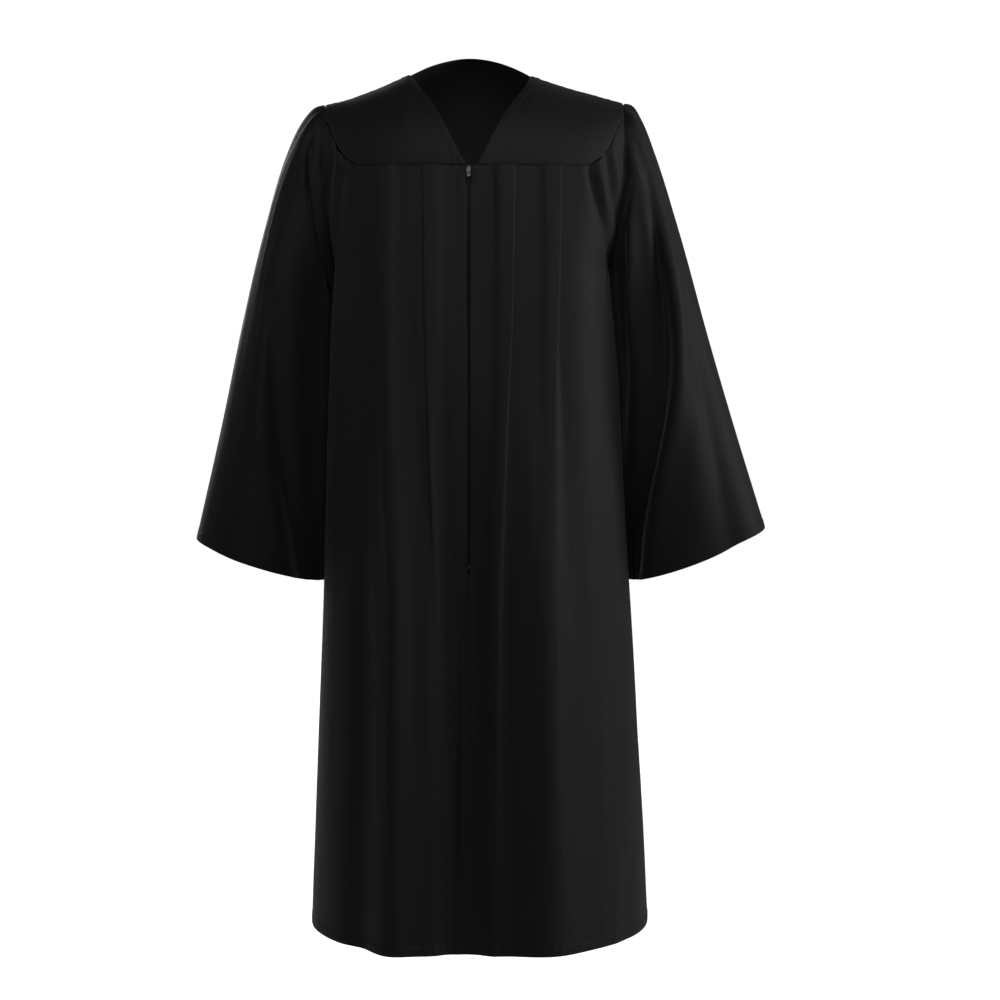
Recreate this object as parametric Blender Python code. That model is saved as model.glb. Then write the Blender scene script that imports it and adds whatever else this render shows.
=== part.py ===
"""Graduation gown, black, filled out with no wearer.

Metres, +Z up. The gown faces -Y. The origin lies midway between the two neck points of the
shoulder seams, where a wearer's shoulders hold it. "left" and "right" are the wearer's, so the
right side is at -X. Every cloth piece is a wall lofted through sections that the tables below
give, and the neighbours at a seam stay a hair apart.
"""
import math

import bmesh
import bpy
import numpy as np

# Cloth and seams
WALL = 0.0012
SEAM_GAP = 0.0003
BUTT = SEAM_GAP / 2

# Heights of the main lines
YOKE_SEAM_Z = -0.131
UNDERARM_Z = -0.272
HEM_Z = -1.235
BACK_NECK_RISE = 0.0265
BACK_NECK_DEPTH = 0.068

# Rounds of the shoulder and the armhole, and how far the armhole reaches to front and back
SHOULDER_POWER = 2.0
ARMHOLE_POWER = 2.0
ARMHOLE_REACH = {"front": 0.055, "back": 0.065}
FACING = {"front": -1, "back": 1}
SIDES = {"right": -1, "left": 1}

# The yoke lies over the pleats that are sewn under it
YOKE_PROUD = 0.0013

# Zip
SLIT_HALF = 0.0015
SLIT_HALF_AT_SLIDER = 0.0046
SLIT_WIDE_TO_Z = -0.150
SLIT_NARROW_FROM_Z = -0.166
ZIP_BOTTOM_Z = -0.690
SLIT_CLOSED_Z = -0.715
TAPE_WIDTH = 0.015
TAPE_WALL = 0.0010
TAPE_INSET = 0.0016
CHAIN_INSET = 0.0022
CHAIN_HALF = 0.0020
CHAIN_THICKNESS = 0.0016
SLIDER_Z = -0.1375
SLIDER_HALF_WIDTH = 0.0035
SLIDER_HALF_HEIGHT = 0.0045
SLIDER_BACK = -0.0030
SLIDER_FRONT = 0.0016
BAIL_HALF_WIDTH = 0.00075
BAIL_HALF_LENGTH = 0.0031
BAIL_STOCK = 0.0008
BAIL_AXIS_RISE = 0.0011
BAIL_TOP_RISE = 0.0019
TAB_LENGTH = 0.0100
TAB_HALF_WIDTH = 0.0029
TAB_NECK_HALF = 0.0020
TAB_THICKNESS = 0.0010
TAB_BAR_HALF = 0.00055
TAB_WINDOW_HALF = 0.00125
TAB_WINDOW_END = 0.0040


def table(names, rows):
    """A short table: its named columns, each read against the first."""
    return {name: np.array(values) for name, values in zip(names.split(), zip(*rows))}


# Shoulder seam, from the neck point out to the armhole
SHOULDER = {
    "right": table("x z", ((0.088, -0.002), (0.128, -0.019), (0.174, -0.036), (0.206, -0.0435))),
    "left": table("x z", ((0.090, -0.0035), (0.138, -0.019), (0.180, -0.0304), (0.2195, -0.0412))),
}
# Armhole seam seen from the front
ARMHOLE = {
    "right": table(
        "z x",
        ((-0.0435, 0.206), (-0.096, 0.2068), (-0.138, 0.2046), (-0.207, 0.2005), (-0.272, 0.1930)),
    ),
    "left": table(
        "z x",
        ((-0.0412, 0.2195), (-0.085, 0.2205), (-0.138, 0.2207), (-0.185, 0.2135), (-0.272, 0.1985)),
    ),
}
# Half width of the body below the underarm
BODY_SIDE = {
    "right": table(
        "z half",
        ((-0.272, 0.193), (-0.386, 0.2013), (-0.55, 0.2075), (-0.726, 0.2125), (-0.924, 0.2214),
         (-1.104, 0.2287), (-1.24, 0.2342)),
    ),
    "left": table(
        "z half",
        ((-0.272, 0.1985), (-0.348, 0.205), (-0.418, 0.2124), (-0.583, 0.2227), (-0.728, 0.2315),
         (-0.924, 0.2436), (-1.104, 0.255), (-1.24, 0.262)),
    ),
}
# How far the body stands out from the shoulder line, and the squareness of its rings
BODY_PLAN = table(
    "z front back power",
    ((-0.131, 0.125, 0.125, 2.4), (-0.272, 0.135, 0.132, 3.1), (-0.42, 0.145, 0.142, 2.6),
     (-0.80, 0.173, 0.170, 2.3), (-1.24, 0.210, 0.205, 2.15)),
)
# Front neck edge of each yoke, by share of the way from the shoulder seam to the yoke seam
NECK_EDGE = {
    "right": table("share x", ((0.0, 0.088), (0.3, 0.073), (0.6, 0.044), (1.0, 0.005))),
    "left": table("share x", ((0.0, 0.090), (0.3, 0.081), (0.6, 0.052), (1.0, 0.013))),
}
# Outer edge of a front yoke, as a share of the armhole's place: it leaves the armhole at 0.43
YOKE_OUTER = table(
    "share out",
    ((0.0, 1.0), (0.43, 1.0), (0.58, 0.955), (0.72, 0.925), (0.87, 0.873), (0.94, 0.83), (1.0, 0.765)),
)
CORNER_START = 0.43
CORNER_GAP = 0.0008

# Knife pleats under the yoke. x is the folded edge, lap the cloth folded under it, open how far the
# fold has come undone, and height how proud it then stands.
PLEATS = {
    ("front", "right"): (
        table(
            "z x lap open height",
            ((-0.131, 0.0645, 0.020, 0.0, 0.005), (-0.30, 0.0625, 0.016, 0.2, 0.006),
             (-0.50, 0.056, 0.010, 0.5, 0.006), (-0.765, 0.0443, 0.006, 0.7, 0.004),
             (-1.24, 0.0292, 0.005, 0.75, 0.004)),
        ),
        table(
            "z x lap open height",
            ((-0.131, 0.128, 0.020, 0.0, 0.005), (-0.30, 0.126, 0.016, 0.2, 0.006),
             (-0.52, 0.119, 0.010, 0.6, 0.007), (-0.765, 0.104, 0.006, 1.0, 0.004),
             (-1.24, 0.112, 0.004, 1.0, 0.002)),
        ),
    ),
    ("front", "left"): (
        table(
            "z x lap open height",
            ((-0.131, 0.0645, 0.020, 0.0, 0.005), (-0.32, 0.0615, 0.016, 0.2, 0.006),
             (-0.50, 0.053, 0.010, 0.45, 0.006), (-0.765, 0.0421, 0.006, 0.65, 0.005),
             (-1.24, 0.0364, 0.005, 0.7, 0.004)),
        ),
        table(
            "z x lap open height",
            ((-0.131, 0.130, 0.020, 0.0, 0.005), (-0.32, 0.1265, 0.014, 0.25, 0.005),
             (-0.53, 0.1215, 0.008, 0.8, 0.005), (-0.765, 0.118, 0.006, 1.0, 0.002),
             (-1.24, 0.124, 0.004, 1.0, 0.001)),
        ),
    ),
    ("back", "right"): (
        table(
            "z x lap open height",
            ((-0.131, 0.048, 0.020, 0.0, 0.005), (-0.40, 0.050, 0.012, 0.6, 0.006),
             (-0.765, 0.053, 0.006, 1.0, 0.007), (-1.24, 0.060, 0.004, 1.0, 0.005)),
        ),
        table(
            "z x lap open height",
            ((-0.131, 0.118, 0.020, 0.0, 0.005), (-0.36, 0.120, 0.012, 0.5, 0.006),
             (-0.765, 0.126, 0.006, 1.0, 0.006), (-1.24, 0.138, 0.004, 1.0, 0.006)),
        ),
    ),
    ("back", "left"): (
        table(
            "z x lap open height",
            ((-0.131, 0.048, 0.020, 0.0, 0.005), (-0.36, 0.049, 0.012, 0.6, 0.006),
             (-0.765, 0.050, 0.006, 1.0, 0.006), (-1.24, 0.054, 0.004, 1.0, 0.006)),
        ),
        table(
            "z x lap open height",
            ((-0.131, 0.118, 0.020, 0.0, 0.005), (-0.42, 0.122, 0.012, 0.6, 0.005),
             (-0.765, 0.132, 0.006, 1.0, 0.007), (-1.24, 0.150, 0.004, 1.0, 0.005)),
        ),
    ),
}
# One knife pleat across its folded edge, pressed shut and come open. t is the place along the
# cloth from the folded edge, n how far it stands out. Pressed t counts laps and then millimetres.
PLEAT = table(
    "laps shut_t shut_n open_t open_n",
    ((-1, -12.0, 0.0, -30.0, 0.00), (-1, -2.0, 4.2, -17.0, 0.45), (-0.5, 0.0, 4.8, -9.0, 0.85),
     (0, -1.5, 4.8, -3.0, 1.00), (0, 0.0, 3.6, 1.0, 0.96), (0, -1.5, 2.4, 4.0, 0.80),
     (-1, 1.5, 2.4, 8.0, 0.50), (-1, 0.0, 1.2, 12.0, 0.25), (-1, 1.5, 0.0, 17.0, 0.08),
     (-0.3, 0.0, 0.0, 23.0, 0.00), (0, 9.0, 0.0, 32.0, 0.00)),
)
MM = 0.001

# Long soft folds of the body. x is the crest, height its rise (below zero a valley), and inner and
# outer how wide it falls away towards the middle and towards the side. Down the middle of the front
# the cloth hangs in one valley, the same on both sides of the zip.
CENTRE_VALLEY = table(
    "z x height inner outer",
    ((-0.30, 0.0, 0.0, 0.030, 0.030), (-0.40, 0.0, 0.0, 0.030, 0.030), (-0.60, 0.0, -0.010, 0.030, 0.032),
     (-0.80, 0.0, -0.018, 0.030, 0.034), (-1.24, 0.0, -0.020, 0.030, 0.036)),
)
BODY_FOLDS = {
    ("front", "right"): (
        CENTRE_VALLEY,
        table(
            "z x height inner outer",
            ((-0.131, 0.104, 0.0, 0.028, 0.034), (-0.30, 0.106, 0.004, 0.026, 0.034),
             (-0.45, 0.102, 0.010, 0.025, 0.034), (-0.60, 0.100, 0.016, 0.026, 0.034),
             (-0.80, 0.101, 0.021, 0.027, 0.036), (-1.24, 0.104, 0.021, 0.029, 0.040)),
        ),
        table(
            "z x height inner outer",
            ((-0.36, 0.043, 0.0, 0.016, 0.012), (-0.60, 0.041, -0.007, 0.017, 0.012),
             (-0.80, 0.036, -0.011, 0.018, 0.013), (-1.24, 0.031, -0.008, 0.019, 0.014)),
        ),
        table(
            "z x height inner outer",
            ((-0.131, 0.130, 0.0, 0.020, 0.020), (-0.50, 0.150, 0.001, 0.020, 0.020),
             (-0.80, 0.145, -0.007, 0.022, 0.022), (-1.24, 0.150, -0.007, 0.024, 0.026)),
        ),
    ),
    ("front", "left"): (
        CENTRE_VALLEY,
        table(
            "z x height inner outer",
            ((-0.131, 0.085, 0.0, 0.020, 0.040), (-0.45, 0.082, 0.003, 0.020, 0.040),
             (-0.60, 0.094, 0.009, 0.026, 0.044), (-0.80, 0.108, 0.016, 0.034, 0.046),
             (-1.24, 0.116, 0.020, 0.040, 0.054)),
        ),
        table(
            "z x height inner outer",
            ((-0.131, 0.160, 0.0, 0.026, 0.026), (-0.45, 0.165, 0.003, 0.030, 0.026),
             (-0.80, 0.180, 0.005, 0.026, 0.028), (-1.24, 0.195, 0.004, 0.030, 0.030)),
        ),
    ),
    ("back", "right"): (
        table(
            "z x height inner outer",
            ((-0.131, 0.085, 0.0, 0.030, 0.030), (-0.50, 0.085, -0.005, 0.022, 0.022),
             (-0.90, 0.095, -0.012, 0.024, 0.024), (-1.24, 0.100, -0.013, 0.026, 0.026)),
        ),
        table(
            "z x height inner outer",
            ((-0.131, 0.150, 0.0, 0.030, 0.030), (-0.60, 0.150, 0.005, 0.030, 0.030),
             (-1.24, 0.165, 0.010, 0.035, 0.040)),
        ),
    ),
    ("back", "left"): (
        table(
            "z x height inner outer",
            ((-0.131, 0.080, 0.0, 0.030, 0.030), (-0.45, 0.082, -0.004, 0.022, 0.022),
             (-0.85, 0.088, -0.010, 0.026, 0.024), (-1.24, 0.096, -0.014, 0.026, 0.030)),
        ),
        table(
            "z x height inner outer",
            ((-0.131, 0.160, 0.0, 0.030, 0.030), (-0.70, 0.165, 0.006, 0.034, 0.030),
             (-1.24, 0.185, 0.009, 0.040, 0.040)),
        ),
    ),
}
# Creases of the gathers where a front turns up beside the yoke's corner, in the same columns
CORNER_CREASES = {
    "right": (
        table(
            "z x height inner outer",
            ((-0.275, 0.186, 0.0, 0.006, 0.007), (-0.190, 0.182, -0.0022, 0.006, 0.007),
             (-0.150, 0.180, -0.0040, 0.005, 0.006), (-0.128, 0.174, -0.0030, 0.004, 0.006)),
        ),
        table(
            "z x height inner outer",
            ((-0.250, 0.192, 0.0, 0.006, 0.006), (-0.170, 0.190, 0.0022, 0.005, 0.006),
             (-0.130, 0.184, 0.0034, 0.005, 0.005), (-0.100, 0.186, 0.0020, 0.004, 0.004)),
        ),
        table(
            "z x height inner outer",
            ((-0.220, 0.198, 0.0, 0.005, 0.006), (-0.160, 0.1965, -0.0024, 0.005, 0.006),
             (-0.120, 0.1925, -0.0036, 0.004, 0.005), (-0.085, 0.196, -0.0020, 0.004, 0.004)),
        ),
    ),
    "left": (
        table(
            "z x height inner outer",
            ((-0.272, 0.1965, -0.0010, 0.006, 0.006), (-0.235, 0.1925, -0.0048, 0.006, 0.007),
             (-0.194, 0.1835, -0.0075, 0.006, 0.008), (-0.158, 0.1746, -0.0070, 0.005, 0.007),
             (-0.128, 0.1675, -0.0040, 0.005, 0.006)),
        ),
        table(
            "z x height inner outer",
            ((-0.262, 0.204, 0.0, 0.008, 0.008), (-0.215, 0.199, 0.0030, 0.008, 0.009),
             (-0.165, 0.187, 0.0062, 0.007, 0.007), (-0.125, 0.180, 0.0048, 0.006, 0.007)),
        ),
        table(
            "z x height inner outer",
            ((-0.225, 0.205, 0.0, 0.007, 0.007), (-0.175, 0.200, -0.0050, 0.006, 0.007),
             (-0.140, 0.1965, -0.0058, 0.005, 0.006), (-0.105, 0.191, -0.0036, 0.004, 0.005)),
        ),
        table(
            "z x height inner outer",
            ((-0.190, 0.210, 0.0, 0.005, 0.005), (-0.140, 0.2085, 0.0030, 0.005, 0.005),
             (-0.105, 0.202, 0.0026, 0.004, 0.005), (-0.085, 0.204, 0.0, 0.004, 0.004)),
        ),
    ),
}

# Sleeve sections by share of the length down the arm. over and under are the section's outer and
# inner ends, front and back its reach to each side of the line between them.
SLEEVE = {
    "right": table(
        "share over_x over_y over_z under_x under_y under_z front back",
        ((0.0, 0.2060, 0.0, -0.0435, 0.1930, 0.0, -0.2720, 0.055, 0.065),
         (0.02, 0.2180, 0.0, -0.0480, 0.1955, 0.004, -0.2765, 0.061, 0.071),
         (0.055, 0.2345, 0.0, -0.0650, 0.1980, 0.014, -0.2860, 0.067, 0.078),
         (0.14, 0.2605, 0.0, -0.1120, 0.1995, 0.034, -0.3120, 0.074, 0.086),
         (0.31, 0.2940, 0.0, -0.2180, 0.2015, 0.052, -0.3700, 0.086, 0.096),
         (0.54, 0.3290, 0.0, -0.3580, 0.2050, 0.062, -0.4740, 0.100, 0.110),
         (0.77, 0.3610, 0.0, -0.5070, 0.2090, 0.068, -0.6010, 0.110, 0.124),
         (1.0, 0.3985, 0.0, -0.6665, 0.2135, 0.072, -0.7360, 0.118, 0.138)),
    ),
    "left": table(
        "share over_x over_y over_z under_x under_y under_z front back",
        ((0.0, 0.2195, 0.0, -0.0412, 0.1985, 0.0, -0.2720, 0.055, 0.065),
         (0.02, 0.2300, 0.0, -0.0455, 0.2010, 0.004, -0.2765, 0.061, 0.071),
         (0.055, 0.2430, 0.0, -0.0650, 0.2035, 0.014, -0.2860, 0.067, 0.078),
         (0.14, 0.2650, 0.0, -0.1142, 0.2055, 0.034, -0.3120, 0.074, 0.086),
         (0.31, 0.3010, 0.0, -0.2213, 0.2095, 0.052, -0.3700, 0.086, 0.096),
         (0.54, 0.3425, 0.0, -0.3652, 0.2155, 0.062, -0.4740, 0.100, 0.110),
         (0.77, 0.3862, 0.0, -0.5104, 0.2225, 0.068, -0.6010, 0.110, 0.124),
         (1.0, 0.4304, 0.0, -0.6515, 0.2305, 0.072, -0.7370, 0.118, 0.138)),
    ),
}
SLEEVE_POWER = 2.15
ARMHOLE_FADE = 0.14
SLEEVE_STANDOFF = 0.0019

# Folds of the sleeves. turn is in degrees round the section: 0 over the arm, 90 in front, 180 under
# it and 270 behind. height is the rise, below zero a valley, and width the spread in degrees.
SLEEVE_FOLDS = {
    "right": (
        table(
            "share turn height width",
            ((0.02, 46, 0.0, 8), (0.04, 52, -0.004, 8), (0.06, 59, -0.009, 8), (0.08, 74, -0.015, 9),
             (0.10, 93, -0.018, 9), (0.12, 120, -0.018, 10), (0.14, 150, -0.015, 11),
             (0.18, 170, -0.009, 12),
             (0.26, 175, 0.0, 12)),
        ),
        table(
            "share turn height width",
            ((0.36, 66, 0.0, 14), (0.56, 88, -0.009, 13), (0.66, 96, -0.011, 13), (0.78, 109, -0.013, 13),
             (0.90, 127, -0.013, 14), (1.0, 138, -0.013, 14)),
        ),
        table(
            "share turn height width",
            ((0.25, 32, 0.0, 20), (0.60, 38, -0.006, 22), (1.0, 48, -0.008, 26)),
        ),
        table(
            "share turn height width",
            ((0.0, 212, 0.0, 14), (0.05, 212, 0.007, 15), (0.14, 210, 0.011, 16), (0.28, 206, 0.006, 17),
             (0.42, 202, 0.0, 18)),
        ),
        table(
            "share turn height width",
            ((0.0, 285, 0.0, 12), (0.16, 272, -0.009, 12), (0.40, 250, -0.010, 14), (0.75, 236, -0.004, 16),
             (1.0, 230, -0.004, 18)),
        ),
        table(
            "share turn height width",
            ((0.35, 310, 0.0, 16), (0.65, 296, -0.008, 16), (1.0, 286, -0.012, 18)),
        ),
    ),
    "left": (
        table(
            "share turn height width",
            ((0.05, 94, 0.0, 12), (0.14, 98, 0.011, 11), (0.30, 110, 0.018, 11), (0.50, 122, 0.011, 12),
             (0.70, 144, 0.006, 13), (0.85, 162, 0.0, 14)),
        ),
        table(
            "share turn height width",
            ((0.12, 60, 0.0, 12), (0.22, 64, -0.008, 11), (0.30, 73, -0.013, 11), (0.40, 83, -0.017, 11),
             (0.50, 91, -0.019, 11), (0.60, 102, -0.019, 11), (0.70, 119, -0.018, 12),
             (0.80, 136, -0.016, 12), (0.90, 150, -0.014, 12), (1.0, 158, -0.012, 12)),
        ),
        table(
            "share turn height width",
            ((0.22, 46, 0.0, 12), (0.40, 58, 0.008, 12), (0.50, 67, 0.010, 11), (0.60, 80, 0.011, 11),
             (0.70, 96, 0.011, 11), (0.80, 111, 0.011, 12), (1.0, 132, 0.009, 13)),
        ),
        table(
            "share turn height width",
            ((0.15, 24, 0.0, 16), (0.40, 28, -0.014, 18), (0.70, 46, -0.022, 27), (1.0, 62, -0.026, 34)),
        ),
        table(
            "share turn height width",
            ((0.0, 212, 0.0, 14), (0.05, 212, 0.007, 15), (0.14, 210, 0.011, 16), (0.28, 206, 0.006, 17),
             (0.42, 202, 0.0, 18)),
        ),
        table(
            "share turn height width",
            ((0.0, 280, 0.0, 12), (0.18, 270, -0.008, 12), (0.45, 254, -0.011, 14), (0.80, 240, -0.006, 16),
             (1.0, 236, -0.004, 18)),
        ),
        table(
            "share turn height width",
            ((0.30, 314, 0.0, 16), (0.70, 300, -0.009, 16), (1.0, 292, -0.012, 18)),
        ),
    ),
}
# Where the lines of cloth at 72, 108 and 270 degrees of the armhole run on down a sleeve: they keep
# to the folds, so that a fold's crest is an edge of the mesh
SLEEVE_LANES = {
    "right": table(
        "share first second behind",
        ((0.0, 72, 108, 270), (0.10, 68, 110, 272), (0.20, 66, 134, 268), (0.36, 66, 144, 256),
         (0.56, 88, 150, 243), (0.78, 109, 156, 236), (0.90, 127, 159, 233), (1.0, 138, 161, 230)),
    ),
    "left": table(
        "share first second behind",
        ((0.0, 72, 108, 270), (0.12, 64, 98, 272), (0.30, 73, 107, 262), (0.50, 91, 123, 252),
         (0.64, 108, 137, 246), (0.80, 136, 156, 240), (0.90, 150, 164, 238), (1.0, 158, 168, 236)),
    ),
}
LANES_FROM = (0, 72, 108, 180, 270, 360)

# Gathers of the sleeve head, strongest a little below the armhole seam
HEAD_GATHER = table("share height", ((0.0, 0.0), (0.02, 0.0016), (0.06, 0.0022), (0.14, 0.001), (0.26, 0.0)))
HEAD_GATHERS_ROUND = 10

# Mesh density
ARMHOLE_TURNS = (90, 108, 126, 144, 162, 171, 180)
FRONT_ROWS_BELOW = 10
BACK_ROWS_BELOW = 8
SLEEVE_SHARES = (0.0, 0.015, 0.04, 0.07, 0.10, 0.14, 0.20, 0.28, 0.38, 0.49, 0.60, 0.70, 0.80, 0.90, 1.0)
SLEEVE_COLUMNS = 40
FRONT_YOKE_ROWS = 9
FRONT_YOKE_COLUMNS = 10
TAPE_ROWS = 17

COLOURS = {
    "gown_cloth": ((0.016, 0.016, 0.018), 0.62, 0.0),
    "zip_tape": ((0.012, 0.012, 0.013), 0.80, 0.0),
    "zip_metal": ((0.20, 0.20, 0.21), 0.35, 1.0),
}


def clear_scene():
    for old in list(bpy.data.objects):
        bpy.data.objects.remove(old, do_unlink=True)


def material(name):
    found = bpy.data.materials.get(name)
    if found:
        return found
    colour, roughness, metallic = COLOURS[name]
    made = bpy.data.materials.new(name)
    made.use_nodes = True
    shader = made.node_tree.nodes["Principled BSDF"]
    shader.inputs["Base Color"].default_value = (*colour, 1.0)
    shader.inputs["Roughness"].default_value = roughness
    shader.inputs["Metallic"].default_value = metallic
    return made


def read(values, column, at):
    """One column of a table at the places asked for, on a smooth curve that never overshoots."""
    names = list(values)
    places = values[names[0]]
    heights = values[column]
    order = np.argsort(places)
    places = places[order]
    heights = heights[order]
    steps = np.diff(places)
    slopes = np.diff(heights) / steps
    tangents = np.zeros_like(heights)
    same = slopes[:-1] * slopes[1:] > 0
    before = 2 * steps[1:] + steps[:-1]
    after = steps[1:] + 2 * steps[:-1]
    safe = np.where(same, slopes[:-1], 1.0)
    safe_next = np.where(same, slopes[1:], 1.0)
    mean = (before + after) / (before / safe + after / safe_next)
    tangents[1:-1] = np.where(same, mean, 0.0)
    tangents[0] = slopes[0]
    tangents[-1] = slopes[-1]
    asked = np.clip(at, places[0], places[-1])
    left = np.clip(np.searchsorted(places, asked, side="right") - 1, 0, len(steps) - 1)
    width = steps[left]
    u = (asked - places[left]) / width
    rise = heights[left] * (1 + 2 * u) * (1 - u) ** 2 + heights[left + 1] * u**2 * (3 - 2 * u)
    bend = tangents[left] * width * u * (1 - u) ** 2 + tangents[left + 1] * width * u**2 * (u - 1)
    return rise + bend


def shrink(value, power):
    """What is left of 1 on a superellipse once value is used up."""
    return np.maximum(1 - np.abs(value) ** power, 0.0) ** (1 / power)


def body_depth(face, z):
    return read(BODY_PLAN, face, z)


def ring_power(z):
    return read(BODY_PLAN, "power", z)


def armhole_reach(face, z):
    """How far the armhole seam lies in front of the shoulder line, or behind it, below the yoke seam."""
    down = np.clip((YOKE_SEAM_Z - z) / (YOKE_SEAM_Z - UNDERARM_Z), 0.0, 1.0)
    return ARMHOLE_REACH[face] * shrink(down, ARMHOLE_POWER)


def half_width(side, face, z):
    """Half width of the body's ring. Above the underarm the ring runs through the armhole seam."""
    reach = armhole_reach(face, z) / body_depth(face, z)
    upper = read(ARMHOLE[side], "x", z) / shrink(reach, ring_power(z))
    lower = read(BODY_SIDE[side], "half", z)
    return np.where(z > UNDERARM_Z, upper, lower)


def ring_place(turn, z):
    """Shares of half width and depth at a place on a ring: turn 0 is the middle, 1 the side."""
    angle = np.clip(turn, 0.0, 1.0) * math.pi / 2
    share = 2 / ring_power(z)
    return np.sin(angle) ** share, np.cos(angle) ** share


def body_point(side, face, turn, z):
    """A point of the body's smooth form, with no folds. Above the yoke seam it closes to the shoulder."""
    ring_z = np.minimum(z, YOKE_SEAM_Z)
    out, deep = ring_place(turn, ring_z)
    x = half_width(side, face, ring_z) * out
    top = read(SHOULDER[side], "z", x)
    lift = np.clip((z - YOKE_SEAM_Z) / (top - YOKE_SEAM_Z), 0.0, 1.0)
    y = body_depth(face, ring_z) * deep * shrink(lift, SHOULDER_POWER)
    return np.stack([SIDES[side] * x, FACING[face] * y, z], axis=-1)


def body_normal(side, face, turn, z):
    """The way out from the smooth form."""
    step = 0.002
    turned = np.clip(turn, step, 1 - step)
    across = body_point(side, face, turned + step, z) - body_point(side, face, turned - step, z)
    along = body_point(side, face, turned, z + step) - body_point(side, face, turned, z - step)
    normal = np.cross(across, along)
    normal *= -SIDES[side] * FACING[face]
    return normal / np.linalg.norm(normal, axis=-1, keepdims=True)


def ring_lengths(side, face, z):
    """Fine steps round a ring, with the length of cloth from the middle to each."""
    turn = np.linspace(0.0, 1.0, 400)
    points = body_point(side, face, turn, np.full_like(turn, z))
    length = np.concatenate([[0.0], np.cumsum(np.linalg.norm(np.diff(points, axis=0), axis=1))])
    return turn, length, np.abs(points[:, 0])


def armhole_turn(side, face, z):
    """Where a ring ends: on the armhole seam above the underarm, and at the side seam below."""
    width = half_width(side, face, min(z, YOKE_SEAM_Z))
    share = min(read(ARMHOLE[side], "x", z) / width, 1.0)
    if z <= UNDERARM_Z:
        return 1.0
    return math.asin(share ** (ring_power(min(z, YOKE_SEAM_Z)) / 2)) / (math.pi / 2)


def fold_heights(folds, x, z):
    """Height of a group of folds over the smooth form."""
    height = np.zeros_like(x)
    for fold in folds:
        crest = read(fold, "x", z)
        width = np.where(x < crest, read(fold, "inner", z), read(fold, "outer", z))
        height += read(fold, "height", z) * np.exp(-(((x - crest) / width) ** 2))
    return height


def pleat_section(pleat, z, room):
    """Places and heights across one pleat at a height. room is the free cloth towards the middle."""
    fold = read(pleat, "x", z)
    lap = read(pleat, "lap", z)
    undone = read(pleat, "open", z)
    proud = read(pleat, "height", z)
    shut_t = PLEAT["laps"] * lap + PLEAT["shut_t"] * MM
    shut_n = PLEAT["shut_n"] * MM
    open_t = PLEAT["open_t"] * MM
    open_t = np.where(open_t < 0, open_t * min(1.0, room / abs(open_t[0])), open_t)
    open_n = PLEAT["open_n"] * proud
    return fold + shut_t + (open_t - shut_t) * undone, shut_n + (open_n - shut_n) * undone


def even(start, end, count):
    """Places strictly between two ends."""
    return np.linspace(start, end, count + 2)[1:-1]


def panel_row(side, face, z, start, counts):
    """One row of a pleated panel from its middle edge to its outer one: places, heights."""
    turn, length, out = ring_lengths(side, face, z)
    end = np.interp(armhole_turn(side, face, z), turn, length) - BUTT
    places = [np.array([start])]
    heights = [np.zeros(1)]
    for pleat, count in zip(PLEATS[face, side], counts):
        last = places[-1][-1]
        t, n = pleat_section(pleat, z, (read(pleat, "x", z) - last) * 0.8)
        places += [even(last, t[0], count), t]
        heights += [np.zeros(count), n]
    last = places[-1][-1]
    places += [even(last, end, counts[-1]), np.array([end])]
    heights += [np.zeros(counts[-1] + 1)]
    t = np.concatenate(places)
    return np.interp(t, length, turn), np.interp(t, length, out), np.concatenate(heights)


def slit_half(z):
    """Half the opening between the two fronts: wide at the slider, a slit at the zip, then a seam."""
    wide = np.interp(z, [SLIT_NARROW_FROM_Z, SLIT_WIDE_TO_Z], [SLIT_HALF, SLIT_HALF_AT_SLIDER])
    return np.where(z < ZIP_BOTTOM_Z, np.interp(z, [SLIT_CLOSED_Z, ZIP_BOTTOM_Z], [BUTT, SLIT_HALF]), wide)


def corner_rise(side, x):
    """How far above the yoke seam the edge of a front yoke runs at x."""
    shares = np.linspace(0.0, 1.0, FRONT_YOKE_ROWS)
    corner = np.append(shares[shares > CORNER_START][::-1], CORNER_START)
    edge_x, edge_z = yoke_outer_edge(side, corner)
    return np.interp(x, edge_x, edge_z - YOKE_SEAM_Z, left=0.0)


def armhole_height(side, turn):
    """Height of the armhole seam, by degrees round it from the shoulder."""
    top = SHOULDER[side]["z"][-1]
    cos = np.cos(np.radians(turn))
    high = np.sign(cos) * np.abs(cos) ** (2 / SLEEVE_POWER)
    return (top + UNDERARM_Z) / 2 + (top - UNDERARM_Z) / 2 * high


def panel_heights(side, start, rows_below):
    """Rows of a panel whose outer edge starts at a height: one at each step of the armhole, then below."""
    steps = armhole_height(side, np.array(ARMHOLE_TURNS))
    steps = np.append(start, steps[steps < start - SEAM_GAP])
    top = YOKE_SEAM_Z - SEAM_GAP
    upper = top + (UNDERARM_Z - top) * (start - steps) / (start - UNDERARM_Z)
    fall = np.linspace(0.0, 1.0, rows_below + 1)[1:] ** 1.15
    return np.append(upper, UNDERARM_Z + (HEM_Z - UNDERARM_Z) * fall)


def yoke_outer_edge(side, share):
    """Outer edge of a front yoke: place out from the middle, and height."""
    lift = np.cos(share * math.pi / 2) ** (2 / SHOULDER_POWER)
    x = read(YOKE_OUTER, "out", share) * read(ARMHOLE[side], "x", YOKE_SEAM_Z)
    for _ in range(4):
        z = YOKE_SEAM_Z + (read(SHOULDER[side], "z", x) - YOKE_SEAM_Z) * lift
        x = read(YOKE_OUTER, "out", share) * read(ARMHOLE[side], "x", z)
    return x, z


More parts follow.
